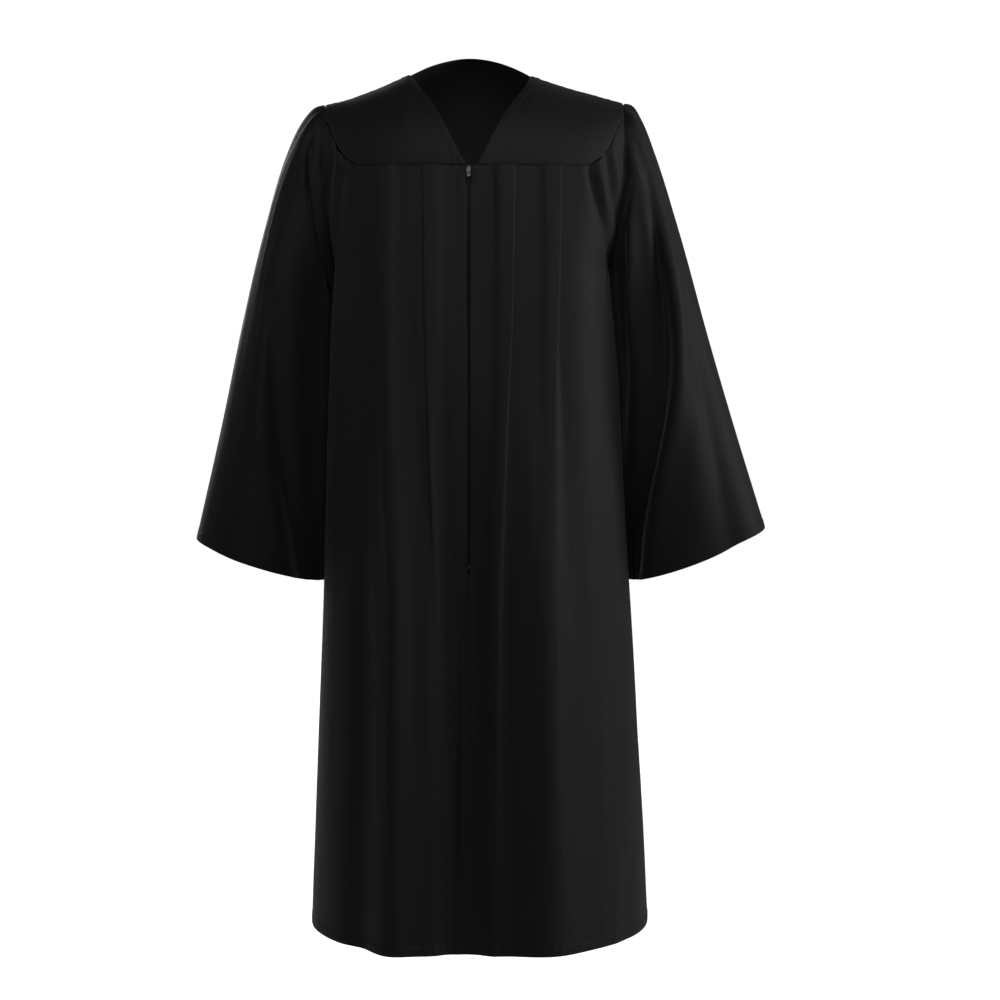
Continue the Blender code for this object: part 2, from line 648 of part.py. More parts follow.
def front_panel(side):
    """Half of the front, from the zip to the side seam, with its corner turned up beside the yoke."""
    counts = (1, 1, 13)
    top = YOKE_SEAM_Z - SEAM_GAP
    _, corner_top = yoke_outer_edge(side, CORNER_START)
    rows = []
    for z in panel_heights(side, float(corner_top) - CORNER_GAP, FRONT_ROWS_BELOW):
        turn, x, height = panel_row(side, "front", z, float(slit_half(z)), counts)
        ring_top = half_width(side, "front", YOKE_SEAM_Z) * ring_place(turn, YOKE_SEAM_Z)[0]
        fade = max(0.0, 1 - (top - z) / (top - UNDERARM_Z))
        place = z + np.maximum(corner_rise(side, ring_top) - CORNER_GAP, 0.0) * fade
        end = armhole_turn(side, "front", float(place[-1]))
        place_turn = turn.copy()
        corner = turn > turn[-counts[-1] - 1]
        squeeze = (end - turn[-counts[-1] - 1]) / (turn[-1] - turn[-counts[-1] - 1])
        place_turn[corner] = turn[-counts[-1] - 1] + (turn[corner] - turn[-counts[-1] - 1]) * squeeze
        height = height + fold_heights(BODY_FOLDS["front", side], x, np.full_like(x, z))
        point = body_point(side, "front", place_turn, place)
        height += fold_heights(CORNER_CREASES[side], np.abs(point[:, 0]), place) * (turn < turn[-1])
        rows.append(point + body_normal(side, "front", place_turn, place) * height[:, None])
    return np.array(rows)


def back_panel():
    """The whole back below the yoke, from side seam to side seam."""
    counts = (1, 2, 6)
    top = YOKE_SEAM_Z - SEAM_GAP
    heights = {side: panel_heights(side, top, BACK_ROWS_BELOW) for side in SIDES}
    rows = []
    for row in range(len(heights["left"])):
        halves = {}
        for side in SIDES:
            z = float(heights[side][row])
            turn, x, height = panel_row(side, "back", z, 0.0, counts)
            place = np.full_like(turn, z)
            height = height + fold_heights(BODY_FOLDS["back", side], x, place)
            point = body_point(side, "back", turn, place)
            halves[side] = point + body_normal(side, "back", turn, place) * height[:, None]
        middle = (halves["right"][:1] + halves["left"][:1]) / 2
        rows.append(np.concatenate([halves["right"][:0:-1], middle, halves["left"][1:]]))
    return np.array(rows)


def yoke_lift(share):
    """Rise and depth of the shoulder's round at a share of the way down to the yoke seam."""
    angle = (1 - share) * math.pi / 2
    return np.sin(angle) ** (2 / SHOULDER_POWER), np.cos(angle) ** (2 / SHOULDER_POWER)


def front_yoke(side):
    """Front yoke: from the neck edge to the armhole, and from the shoulder seam to the yoke seam."""
    rows = []
    for share in np.linspace(0.0, 1.0, FRONT_YOKE_ROWS):
        rise, deep = yoke_lift(share)
        inner = float(read(NECK_EDGE[side], "x", share))
        outer, _ = yoke_outer_edge(side, share)
        x = np.linspace(inner, float(outer) - BUTT * 2, FRONT_YOKE_COLUMNS)
        z = YOKE_SEAM_Z + (read(SHOULDER[side], "z", x) - YOKE_SEAM_Z) * rise
        ring = shrink(x / half_width(side, "front", YOKE_SEAM_Z), ring_power(YOKE_SEAM_Z))
        y = body_depth("front", YOKE_SEAM_Z) * ring * deep + BUTT + YOKE_PROUD * share
        rows.append(np.stack([SIDES[side] * x, -y, z], axis=-1))
    return np.array(rows)


def back_yoke():
    """Back yoke: from the neck edge and shoulder seams down to the back yoke seam."""
    rows = []
    shares_out = {"neck": np.linspace(0.0, 1.0, 6), "shoulder": np.linspace(0.0, 1.0, 7)[1:]}
    for share in np.linspace(0.0, 1.0, FRONT_YOKE_ROWS):
        rise, deep = yoke_lift(share)
        halves = {}
        for side in SIDES:
            neck = SHOULDER[side]["x"][0]
            armhole = read(ARMHOLE[side], "x", YOKE_SEAM_Z * (1 - rise) + SHOULDER[side]["z"][-1] * rise)
            x = np.concatenate([neck * shares_out["neck"], neck + (armhole - neck) * shares_out["shoulder"]])
            at_neck = shrink(np.minimum(x / neck, 1.0), 2.2)
            top_y = BACK_NECK_DEPTH * at_neck
            top_z = read(SHOULDER[side], "z", np.maximum(x, neck))
            top_z += (BACK_NECK_RISE - top_z) * (1 - np.minimum(x / neck, 1.0) ** 2)
            ring = shrink(x / half_width(side, "back", YOKE_SEAM_Z), ring_power(YOKE_SEAM_Z))
            low_y = body_depth("back", YOKE_SEAM_Z) * ring
            y = top_y + (low_y - top_y) * deep + BUTT + YOKE_PROUD * share
            z = YOKE_SEAM_Z + (top_z - YOKE_SEAM_Z) * rise
            halves[side] = np.stack([SIDES[side] * x, y, z], axis=-1)
        rows.append(np.concatenate([halves["right"][:0:-1], halves["left"]]))
    return np.array(rows)


def armhole_loop(side, turn):
    """The armhole seam, by degrees round it from the shoulder, over the front and under the arm."""
    top = SHOULDER[side]["z"][-1]
    z = armhole_height(side, turn)
    x = read(ARMHOLE[side], "x", z)
    above = np.clip((z - YOKE_SEAM_Z) / (top - YOKE_SEAM_Z), 0.0, 1.0)
    reach = {}
    for face in FACING:
        width = half_width(side, face, YOKE_SEAM_Z)
        ring = body_depth(face, YOKE_SEAM_Z) * shrink(x / width, ring_power(YOKE_SEAM_Z))
        reach[face] = np.where(z > YOKE_SEAM_Z, ring * shrink(above, SHOULDER_POWER), armhole_reach(face, z))
    y = np.where(turn < 180, -reach["front"], reach["back"])
    return np.stack([SIDES[side] * x, y, z], axis=-1)


def sleeve_section(side, share, turn):
    """One smooth section of a sleeve, by degrees round it."""
    values = {name: read(SLEEVE[side], name, share) for name in SLEEVE[side]}
    sign = SIDES[side]
    over = np.array([sign * values["over_x"], values["over_y"], values["over_z"]])
    under = np.array([sign * values["under_x"], values["under_y"], values["under_z"]])
    cos = np.cos(np.radians(turn))
    sin = np.sin(np.radians(turn))
    along = np.sign(cos) * np.abs(cos) ** (2 / SLEEVE_POWER)
    aside = np.sign(sin) * np.abs(sin) ** (2 / SLEEVE_POWER)
    reach = np.where(sin > 0, values["front"], values["back"])
    point = (over + under) / 2 + (over - under) / 2 * along[:, None]
    point[:, 1] -= aside * reach
    return point


def lane_turn(side, share, turn):
    """Where the lines of cloth that leave the armhole at these turns have come to."""
    lanes = [float(read(SLEEVE_LANES[side], name, share)) for name in ("first", "second", "behind")]
    return np.interp(turn, LANES_FROM, (0, lanes[0], lanes[1], 180, lanes[2], 360))


def sleeve_folds(side, share, turn):
    height = np.zeros_like(turn)
    for fold in SLEEVE_FOLDS[side]:
        away = (turn - read(fold, "turn", share) + 180) % 360 - 180
        height += read(fold, "height", share) * np.exp(-((away / read(fold, "width", share)) ** 2))
    head = np.clip(np.cos(np.radians(turn)) + 0.35, 0.0, 1.0)
    gather = np.cos(np.radians(turn) * HEAD_GATHERS_ROUND)
    return height + gather * head * read(HEAD_GATHER, "height", share)


def sleeve(side):
    """A bell sleeve from the armhole seam to its open hem, as closed rings."""
    turn = np.arange(SLEEVE_COLUMNS) * 360 / SLEEVE_COLUMNS
    knots = np.array(ARMHOLE_TURNS)
    knots = np.concatenate([turn[turn < knots[0]], knots, 360 - knots[-2::-1], turn[turn > 360 - knots[0]]])
    corners = armhole_loop(side, knots)
    start = np.stack([np.interp(turn, knots, corners[:, axis]) for axis in range(3)], axis=-1)
    start[:, 0] += SIDES[side] * SLEEVE_STANDOFF
    shift = start - sleeve_section(side, 0.0, turn)
    smooth = []
    for share in SLEEVE_SHARES:
        fade = max(0.0, 1 - share / ARMHOLE_FADE) ** 1.5
        smooth.append(sleeve_section(side, share, lane_turn(side, share, turn)) + shift * fade)
    smooth = np.array(smooth)
    along = np.gradient(smooth, axis=0)
    around = (np.roll(smooth, -1, axis=1) - np.roll(smooth, 1, axis=1)) / 2
    normal = np.cross(around, along) * SIDES[side]
    normal /= np.linalg.norm(normal, axis=-1, keepdims=True)
    folded = [sleeve_folds(side, share, lane_turn(side, share, turn)) for share in SLEEVE_SHARES]
    return smooth + normal * np.array(folded)[:, :, None]


def add_object(name, mesh, paint, smooth=True):
    mesh.materials.append(material(paint))
    made = bpy.data.objects.new(name, mesh)
    bpy.context.scene.collection.objects.link(made)
    if smooth:
        mesh.shade_smooth()
    return made


def sheet_of(name, grid, closed_round, wall, paint):
    """A cloth wall: a sheet over a grid of points, given its thickness to both sides."""
    rows, columns, _ = grid.shape
    last = columns if closed_round else columns - 1
    faces = []
    for row in range(rows - 1):
        for column in range(last):
            beside = (column + 1) % columns
            upper, lower = row * columns, (row + 1) * columns
            faces.append((upper + column, lower + column, lower + beside, upper + beside))
    mesh = bpy.data.meshes.new(name)
    mesh.from_pydata(grid.reshape(-1, 3).tolist(), [], faces)
    made = add_object(name, mesh, paint)
    thick = made.modifiers.new("wall", "SOLIDIFY")
    thick.thickness = wall
    thick.offset = 0.0
    thick.use_rim = True
    return made


def outline_plate(name, outline, low, high, paint, across="y"):
    """A flat outline made thick from low to high along y, or along x."""
    body = bmesh.new()
    if across == "y":
        points = [body.verts.new((u, low, v)) for u, v in outline]
        push = (0.0, high - low, 0.0)
    else:
        points = [body.verts.new((low, u, v)) for u, v in outline]
        push = (high - low, 0.0, 0.0)
    face = body.faces.new(points)
    grown = bmesh.ops.extrude_face_region(body, geom=[face])
    moved = [part for part in grown["geom"] if isinstance(part, bmesh.types.BMVert)]
    bmesh.ops.translate(body, verts=moved, vec=push)
    bmesh.ops.recalc_face_normals(body, faces=body.faces)
    mesh = bpy.data.meshes.new(name)
    body.to_mesh(mesh)
    body.free()
    return add_object(name, mesh, paint, smooth=False)


def helper(shape):
    shape.hide_render = True
    shape.display_type = "WIRE"


def combine(whole, other, operation):
    join = whole.modifiers.new(operation.lower(), "BOOLEAN")
    join.object = other
    join.operation = operation
    join.solver = "EXACT"


def front_face_y(side, x, z):
    """Where the middle of the front's cloth lies, with its long folds."""
    width = half_width(side, "front", np.minimum(z, YOKE_SEAM_Z))
    depth = body_depth("front", z) * shrink(x / width, ring_power(z))
    return -depth - fold_heights(BODY_FOLDS["front", side], x, z)


def zip_tape(side):
    """The woven tape behind a front's edge, which stands clear of the slider at its top."""
    rows = []
    for z in np.linspace(YOKE_SEAM_Z - 0.002, ZIP_BOTTOM_Z - 0.012, TAPE_ROWS):
        beside = SLIDER_HALF_WIDTH if z > SLIDER_Z - SLIDER_HALF_HEIGHT - 0.012 else CHAIN_HALF
        x = np.linspace(beside + SEAM_GAP, TAPE_WIDTH, 3)
        y = front_face_y(side, x, np.full_like(x, z)) + TAPE_INSET
        rows.append(np.stack([SIDES[side] * x, y, np.full_like(x, z)], axis=-1))
    return sheet_of("zip_tape_" + side, np.array(rows), False, TAPE_WALL, "zip_tape")


def zip_chain():
    """The closed coil of the zip as one flat strip, from the slider to the bottom stop."""
    rows = []
    top = SLIDER_Z - SLIDER_HALF_HEIGHT - SEAM_GAP
    for z in np.linspace(top, ZIP_BOTTOM_Z, TAPE_ROWS):
        x = np.array([-CHAIN_HALF, CHAIN_HALF])
        y = np.full_like(x, float(front_face_y("left", np.zeros(1), np.full(1, z))[0]))
        y += CHAIN_INSET
        rows.append(np.stack([x, y, np.full_like(x, z)], axis=-1))
    return sheet_of("zip_chain", np.array(rows), False, CHAIN_THICKNESS, "zip_tape")


def centre_y(z):
    return float(front_face_y("left", np.zeros(1), np.full(1, z))[0])


def zip_slider():
    """Slider body with its raised bail, which the pull tab's bar runs through."""
    face_y = centre_y(SLIDER_Z)
    front = face_y - SLIDER_FRONT
    wide, tall = SLIDER_HALF_WIDTH, SLIDER_HALF_HEIGHT
    shield = ((-0.62 * wide, tall), (0.62 * wide, tall), (wide, 0.35 * tall), (0.72 * wide, -tall),
              (-0.72 * wide, -tall), (-wide, 0.35 * tall))
    outline = [(x, SLIDER_Z + z) for x, z in shield]
    body = outline_plate("zip_slider", outline, front, face_y - SLIDER_BACK, "zip_metal")
    axis = front - BAIL_AXIS_RISE
    top = axis - BAIL_TOP_RISE
    root = front + BAIL_STOCK
    long, inner = BAIL_HALF_LENGTH, BAIL_HALF_LENGTH - BAIL_STOCK
    arch = ((root, long), (top + 0.0006, long), (top, long - 0.0006), (top, -long + 0.0006),
            (top + 0.0006, -long), (root, -long), (root, -inner), (top + BAIL_STOCK, -inner),
            (top + BAIL_STOCK, inner), (root, inner))
    bail = outline_plate(
        "bail", [(y, SLIDER_Z + z) for y, z in arch], -BAIL_HALF_WIDTH, BAIL_HALF_WIDTH, "zip_metal", "x"
    )
    helper(bail)
    combine(body, bail, "UNION")
    return body


def zip_pull_tab():
    """Oval pull tab hanging from the bail, its origin on the bar it turns about."""
    half = TAB_THICKNESS / 2
    outline = [(-TAB_NECK_HALF, TAB_BAR_HALF), (TAB_NECK_HALF, TAB_BAR_HALF)]
    middle = -0.62 * TAB_LENGTH
    for step in range(11):
        angle = math.radians(25 - 23 * step)
        outline.append((TAB_HALF_WIDTH * math.cos(angle), middle + 0.38 * TAB_LENGTH * math.sin(angle)))
    tab = outline_plate("zip_pull_tab", outline, -half, half, "zip_metal")
    window = outline_plate(
        "tab_window",
        ((-TAB_WINDOW_HALF, -TAB_BAR_HALF), (TAB_WINDOW_HALF, -TAB_BAR_HALF),
         (TAB_WINDOW_HALF, -TAB_WINDOW_END), (-TAB_WINDOW_HALF, -TAB_WINDOW_END)),
        -2 * half,
        2 * half,
        "zip_metal",
    )
    helper(window)
    window.parent = tab
    combine(tab, window, "DIFFERENCE")
    tab.location = (0.0, centre_y(SLIDER_Z) - SLIDER_FRONT - BAIL_AXIS_RISE, SLIDER_Z)
    return tab


def zip_bottom_stop():
    """Metal stop clamped under the end of the chain."""
    y = centre_y(ZIP_BOTTOM_Z) + TAPE_INSET
    top = ZIP_BOTTOM_Z - SEAM_GAP
    outline = ((-CHAIN_HALF, top), (CHAIN_HALF, top), (CHAIN_HALF, top - 0.003), (-CHAIN_HALF, top - 0.003))
    return outline_plate("zip_bottom_stop", outline, y - 0.0009, y + 0.0011, "zip_metal")


def main():
    clear_scene()
    for side in SIDES:
        sheet_of("yoke_front_" + side, front_yoke(side), False, WALL, "gown_cloth")
        sheet_of("front_" + side, front_panel(side), False, WALL, "gown_cloth")
        sheet_of("sleeve_" + side, sleeve(side), True, WALL, "gown_cloth")
        zip_tape(side)
    sheet_of("yoke_back", back_yoke(), False, WALL, "gown_cloth")
    sheet_of("back", back_panel(), False, WALL, "gown_cloth")
    zip_chain()
    zip_slider()
    zip_pull_tab()
    zip_bottom_stop()


main()
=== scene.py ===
# %% [markdown]
# # A graduation gown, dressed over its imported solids
# The gown hangs as if it were worn, with nobody inside: a yoke over the shoulders, two fronts and a
# back sewn under it in knife pleats, two bell sleeves, and a zip down the front. Each piece is
# already a plain cloth wall in the frame. Here a finer sheet takes the place of each wall, with its
# small creases, turned hems and stitches. Everything is in metres and the gown faces -Y. "left" and
# "right" are the wearer's, so the right side lies at -X.

# %% Load the frame
import math

import bpy
import numpy as np
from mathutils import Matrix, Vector


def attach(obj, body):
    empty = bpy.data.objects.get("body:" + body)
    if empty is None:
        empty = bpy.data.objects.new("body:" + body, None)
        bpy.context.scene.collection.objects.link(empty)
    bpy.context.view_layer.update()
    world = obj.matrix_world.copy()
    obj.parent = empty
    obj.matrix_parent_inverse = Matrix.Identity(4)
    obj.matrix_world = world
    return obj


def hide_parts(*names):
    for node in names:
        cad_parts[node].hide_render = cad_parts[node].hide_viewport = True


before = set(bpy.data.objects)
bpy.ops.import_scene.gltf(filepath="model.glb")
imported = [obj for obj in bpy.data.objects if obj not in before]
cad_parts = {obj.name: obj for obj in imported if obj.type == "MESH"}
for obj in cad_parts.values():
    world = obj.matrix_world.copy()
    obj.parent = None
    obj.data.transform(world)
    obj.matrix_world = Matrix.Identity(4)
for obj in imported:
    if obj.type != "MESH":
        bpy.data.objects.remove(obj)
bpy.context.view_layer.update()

print("solids:", sorted(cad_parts))

# %% [markdown]
# ## Camera, floor and light
# Black cloth shows its folds only by how the light runs over it. One soft lamp stands high beside the
# wearer's left, so that each fold has a pale flank and a dark one, and the light falls off towards
# the hem. A weak one in front and a weaker one opposite keep the rest from sinking into black. The
# lens is long, as for a catalogue picture, and the camera looks down by a few degrees.

# %% Camera
CAMERA_PLACE = (0.0435, -3.6, -0.228)
CAMERA_DOWN = math.radians(6.1)
camera_data = bpy.data.cameras.new("camera")
camera_data.lens = 89.38
camera_data.sensor_width = 36.0
camera = bpy.data.objects.new("camera", camera_data)
camera.location = CAMERA_PLACE
camera.rotation_euler = (math.pi / 2 - CAMERA_DOWN, 0.0, 0.0)
bpy.context.scene.collection.objects.link(camera)
bpy.context.scene.camera = camera
bpy.context.scene.view_settings.view_transform = "Standard"
print("camera at", CAMERA_PLACE)

# %% Lamps
AIM = Vector((0.0, 0.0, -0.35))
LAMPS = {
    "key": ((2.36, -0.42, 0.10), 1.0, 21.0),
    "front_high": ((0.05, -1.36, 0.45), 0.8, 6.0),
    "far_side": ((-2.30, 0.0, 0.42), 1.0, 3.0),
    "back_key": ((-1.6, 3.2, 0.4), 1.8, 40.0),
}
for lamp_name, (place, lamp_size, watts) in LAMPS.items():
    lamp_data = bpy.data.lights.new(lamp_name, "AREA")
    lamp_data.size = lamp_size
    lamp_data.energy = watts
    lamp = bpy.data.objects.new(lamp_name, lamp_data)
    lamp.location = place
    lamp.rotation_euler = (Vector(place) - AIM).to_track_quat("Z", "Y").to_euler()
    bpy.context.scene.collection.objects.link(lamp)
print("lamps:", ", ".join(LAMPS))

# %% Floor and backdrop
FLOOR_Z = -1.45
FLOOR_HALF = 30.0


def joined(tree, kind, inputs=(), **settings):
    """A shader node with its settings made and its inputs filled or linked."""
    made = tree.nodes.new(kind)
    for setting, value in settings.items():
        setattr(made, setting, value)
    for socket, value in dict(inputs).items():
        if isinstance(value, bpy.types.NodeSocket):
            tree.links.new(value, made.inputs[socket])
        else:
            made.inputs[socket].default_value = value
    return made


def pale_floor():
    """A pale matt floor. It glows a little to the lens, as a white sweep in a studio does."""
    made = bpy.data.materials.new("pale_floor")
    made.use_nodes = True
    tree = made.node_tree
    shader = tree.nodes["Principled BSDF"]
    shader.inputs["Base Color"].default_value = (0.80, 0.80, 0.80, 1.0)
    shader.inputs["Roughness"].default_value = 0.9
    to_lens = joined(tree, "ShaderNodeLightPath")
    glow = joined(tree, "ShaderNodeEmission", {"Color": (1.0, 1.0, 1.0, 1.0), "Strength": 1.0})
    both = joined(tree, "ShaderNodeAddShader")
    tree.links.new(shader.outputs[0], both.inputs[0])
    tree.links.new(glow.outputs[0], both.inputs[1])
    picked = joined(tree, "ShaderNodeMixShader", {"Fac": to_lens.outputs["Is Camera Ray"]})
    tree.links.new(shader.outputs[0], picked.inputs[1])
    tree.links.new(both.outputs[0], picked.inputs[2])
    tree.links.new(picked.outputs[0], tree.nodes["Material Output"].inputs["Surface"])
    return made


bpy.ops.mesh.primitive_plane_add(size=2 * FLOOR_HALF, location=(0.0, 0.0, FLOOR_Z))
floor = bpy.context.object
floor.name = "floor"
floor.data.materials.append(pale_floor())

sky = bpy.data.worlds.new("studio")
bpy.context.scene.world = sky
sky.use_nodes = True
SKY_TO_CLOTH = 0.02
SKY_TO_LENS = 1.05
sky_tree = sky.node_tree
lens_ray = joined(sky_tree, "ShaderNodeLightPath")
sky_strength = joined(
    sky_tree,
    "ShaderNodeMapRange",
    {"Value": lens_ray.outputs["Is Camera Ray"], "To Min": SKY_TO_CLOTH, "To Max": SKY_TO_LENS},
)
sky_glow = sky_tree.nodes["Background"]
sky_glow.inputs["Color"].default_value = (1.0, 1.0, 1.0, 1.0)
sky_tree.links.new(sky_strength.outputs["Result"], sky_glow.inputs["Strength"])
print("floor at", FLOOR_Z)

# %% [markdown]
# ## Measures and short tables
# A gown is graded from a few measures at a few heights. Each table below has one row for each
# height, or for each step down a sleeve, and a smooth curve runs through its rows. The curve never
# overshoots a row, so a fold that a table flattens out stays flat.

# %% Measures
WALL = 0.0008
HEM_WALL = 0.0018
SEAM_GAP = 0.0003
BUTT = SEAM_GAP / 2
YOKE_SEAM_Z = -0.131
UNDERARM_Z = -0.272
HEM_Z = -1.235
BACK_NECK_RISE = 0.0265
BACK_NECK_DEPTH = 0.068
SHOULDER_POWER = 2.0
ARMHOLE_POWER = 2.0
ARMHOLE_REACH = {"front": 0.055, "back": 0.065}
FACING = {"front": -1, "back": 1}
SIDES = {"right": -1, "left": 1}
YOKE_PROUD = 0.0013
MM = 0.001

# Zip
SLIT_HALF = 0.0015
SLIT_HALF_AT_SLIDER = 0.0046
SLIT_WIDE_TO_Z = -0.150
SLIT_NARROW_FROM_Z = -0.166
ZIP_BOTTOM_Z = -0.690
SLIT_CLOSED_Z = -0.715
TAPE_WIDTH = 0.015
TAPE_WALL = 0.0010
TAPE_INSET = 0.0016
CHAIN_INSET = 0.0022
CHAIN_HALF = 0.0020
CHAIN_THICKNESS = 0.0016
SLIDER_Z = -0.1375
SLIDER_HALF_WIDTH = 0.0035
SLIDER_HALF_HEIGHT = 0.0045
SLIDER_BACK = -0.0030
SLIDER_FRONT = 0.0016
BAIL_HALF_WIDTH = 0.00075
BAIL_HALF_LENGTH = 0.0031
BAIL_STOCK = 0.0008
BAIL_AXIS_RISE = 0.0011
BAIL_TOP_RISE = 0.0019
TAB_LENGTH = 0.0100
TAB_HALF_WIDTH = 0.0029
TAB_NECK_HALF = 0.0020
TAB_THICKNESS = 0.0010
TAB_BAR_HALF = 0.00055
TAB_WINDOW_HALF = 0.00125
TAB_WINDOW_END = 0.0040


def table(names, rows):
    """A short table: its named columns, each read against the first."""
    return {name: np.array(values) for name, values in zip(names.split(), zip(*rows))}


def read(values, column, at):
    """One column of a table at the places asked for, on a smooth curve that never overshoots."""
    names = list(values)
    places = values[names[0]]
    heights = values[column]
    order = np.argsort(places)
    places = places[order]
    heights = heights[order]
    steps = np.diff(places)
    slopes = np.diff(heights) / steps
    tangents = np.zeros_like(heights)
    same = slopes[:-1] * slopes[1:] > 0
    before = 2 * steps[1:] + steps[:-1]
    after = steps[1:] + 2 * steps[:-1]
    safe = np.where(same, slopes[:-1], 1.0)
    safe_next = np.where(same, slopes[1:], 1.0)
    mean = (before + after) / (before / safe + after / safe_next)
    tangents[1:-1] = np.where(same, mean, 0.0)
    tangents[0] = slopes[0]
    tangents[-1] = slopes[-1]
    asked = np.clip(at, places[0], places[-1])
    left = np.clip(np.searchsorted(places, asked, side="right") - 1, 0, len(steps) - 1)
    width = steps[left]
    u = (asked - places[left]) / width
    rise = heights[left] * (1 + 2 * u) * (1 - u) ** 2 + heights[left + 1] * u**2 * (3 - 2 * u)
    bend = tangents[left] * width * u * (1 - u) ** 2 + tangents[left + 1] * width * u**2 * (u - 1)
    return rise + bend


print("gown from", HEM_Z, "up to", BACK_NECK_RISE)

# %% [markdown]
# ## The smooth form
# Every ring round the body is a superellipse: a power of 2 is an ellipse, and a higher one is
# squarer. The rings run through the armhole seam above the underarm, and above the yoke seam they
# close over the shoulders. The folds are laid on this form afterwards, square to it.

# %% Tables of the smooth form
# Shoulder seam, from the neck point out to the armhole
SHOULDER = {
    "right": table("x z", ((0.088, -0.002), (0.128, -0.019), (0.174, -0.036), (0.206, -0.0435))),
    "left": table("x z", ((0.090, -0.0035), (0.138, -0.019), (0.180, -0.0304), (0.2195, -0.0412))),
}
# Armhole seam seen from the front
ARMHOLE = {
    "right": table(
        "z x",
        ((-0.0435, 0.206), (-0.096, 0.2068), (-0.138, 0.2046), (-0.207, 0.2005), (-0.272, 0.1930)),
    ),
    "left": table(
        "z x",
        ((-0.0412, 0.2195), (-0.085, 0.2205), (-0.138, 0.2207), (-0.185, 0.2135), (-0.272, 0.1985)),
    ),
}
# Half width of the body below the underarm
BODY_SIDE = {
    "right": table(
        "z half",
        ((-0.272, 0.193), (-0.386, 0.2013), (-0.55, 0.2075), (-0.726, 0.2125), (-0.924, 0.2214),
         (-1.104, 0.2287), (-1.24, 0.2342)),
    ),
    "left": table(
        "z half",
        ((-0.272, 0.1985), (-0.348, 0.205), (-0.418, 0.2124), (-0.583, 0.2227), (-0.728, 0.2315),
         (-0.924, 0.2436), (-1.104, 0.255), (-1.24, 0.262)),
    ),
}
# How far the body stands out from the shoulder line, and the squareness of its rings
BODY_PLAN = table(
    "z front back power",
    ((-0.131, 0.125, 0.125, 2.4), (-0.272, 0.135, 0.132, 3.1), (-0.42, 0.145, 0.142, 2.6),
     (-0.80, 0.173, 0.170, 2.3), (-1.24, 0.210, 0.205, 2.15)),
)
# Front neck edge of each yoke, by share of the way from the shoulder seam to the yoke seam
NECK_EDGE = {
    "right": table("share x", ((0.0, 0.088), (0.3, 0.073), (0.6, 0.044), (1.0, 0.005))),
    "left": table("share x", ((0.0, 0.090), (0.3, 0.081), (0.6, 0.052), (1.0, 0.013))),
}
# Outer edge of a front yoke, as a share of the armhole's place: it leaves the armhole at 0.43
YOKE_OUTER = table(
    "share out",
    ((0.0, 1.0), (0.43, 1.0), (0.58, 0.955), (0.72, 0.925), (0.87, 0.873), (0.94, 0.83), (1.0, 0.765)),
)
CORNER_START = 0.43
CORNER_GAP = 0.0008

# %% The smooth form
def shrink(value, power):
    """What is left of 1 on a superellipse once value is used up."""
    return np.maximum(1 - np.abs(value) ** power, 0.0) ** (1 / power)


def body_depth(face, z):
    return read(BODY_PLAN, face, z)


def ring_power(z):
    return read(BODY_PLAN, "power", z)


def armhole_reach(face, z):
    """How far the armhole seam lies in front of the shoulder line, or behind it, below the yoke seam."""
    down = np.clip((YOKE_SEAM_Z - z) / (YOKE_SEAM_Z - UNDERARM_Z), 0.0, 1.0)
    return ARMHOLE_REACH[face] * shrink(down, ARMHOLE_POWER)


def half_width(side, face, z):
    """Half width of the body's ring. Above the underarm the ring runs through the armhole seam."""
    reach = armhole_reach(face, z) / body_depth(face, z)
    upper = read(ARMHOLE[side], "x", z) / shrink(reach, ring_power(z))
    lower = read(BODY_SIDE[side], "half", z)
    return np.where(z > UNDERARM_Z, upper, lower)


def ring_place(turn, z):
    """Shares of half width and depth at a place on a ring: turn 0 is the middle, 1 the side."""
    angle = np.clip(turn, 0.0, 1.0) * math.pi / 2
    share = 2 / ring_power(z)
    return np.sin(angle) ** share, np.cos(angle) ** share


def body_point(side, face, turn, z):
    """A point of the body's smooth form, with no folds. Above the yoke seam it closes to the shoulder."""
    ring_z = np.minimum(z, YOKE_SEAM_Z)
    out, deep = ring_place(turn, ring_z)
    x = half_width(side, face, ring_z) * out
    top = read(SHOULDER[side], "z", x)
    lift = np.clip((z - YOKE_SEAM_Z) / (top - YOKE_SEAM_Z), 0.0, 1.0)
    y = body_depth(face, ring_z) * deep * shrink(lift, SHOULDER_POWER)
    return np.stack([SIDES[side] * x, FACING[face] * y, z], axis=-1)


def body_normal(side, face, turn, z):
    """The way out from the smooth form."""
    step = 0.002
    turned = np.clip(turn, step, 1 - step)
    across = body_point(side, face, turned + step, z) - body_point(side, face, turned - step, z)
    along = body_point(side, face, turned, z + step) - body_point(side, face, turned, z - step)
    normal = np.cross(across, along)
    normal *= -SIDES[side] * FACING[face]
    return normal / np.linalg.norm(normal, axis=-1, keepdims=True)


def ring_lengths(side, face, z):
    """Fine steps round a ring, with the length of cloth from the middle to each."""
    turn = np.linspace(0.0, 1.0, 400)
    points = body_point(side, face, turn, np.full_like(turn, z))
    length = np.concatenate([[0.0], np.cumsum(np.linalg.norm(np.diff(points, axis=0), axis=1))])
    return turn, length, np.abs(points[:, 0])


def armhole_turn(side, face, z):
    """Where a ring ends: on the armhole seam above the underarm, and at the side seam below."""
    width = half_width(side, face, min(z, YOKE_SEAM_Z))
    share = min(read(ARMHOLE[side], "x", z) / width, 1.0)
    if z <= UNDERARM_Z:
        return 1.0
    return math.asin(share ** (ring_power(min(z, YOKE_SEAM_Z)) / 2)) / (math.pi / 2)


print("half width at the hem:", {side: round(float(half_width(side, "front", HEM_Z)), 3) for side in SIDES})

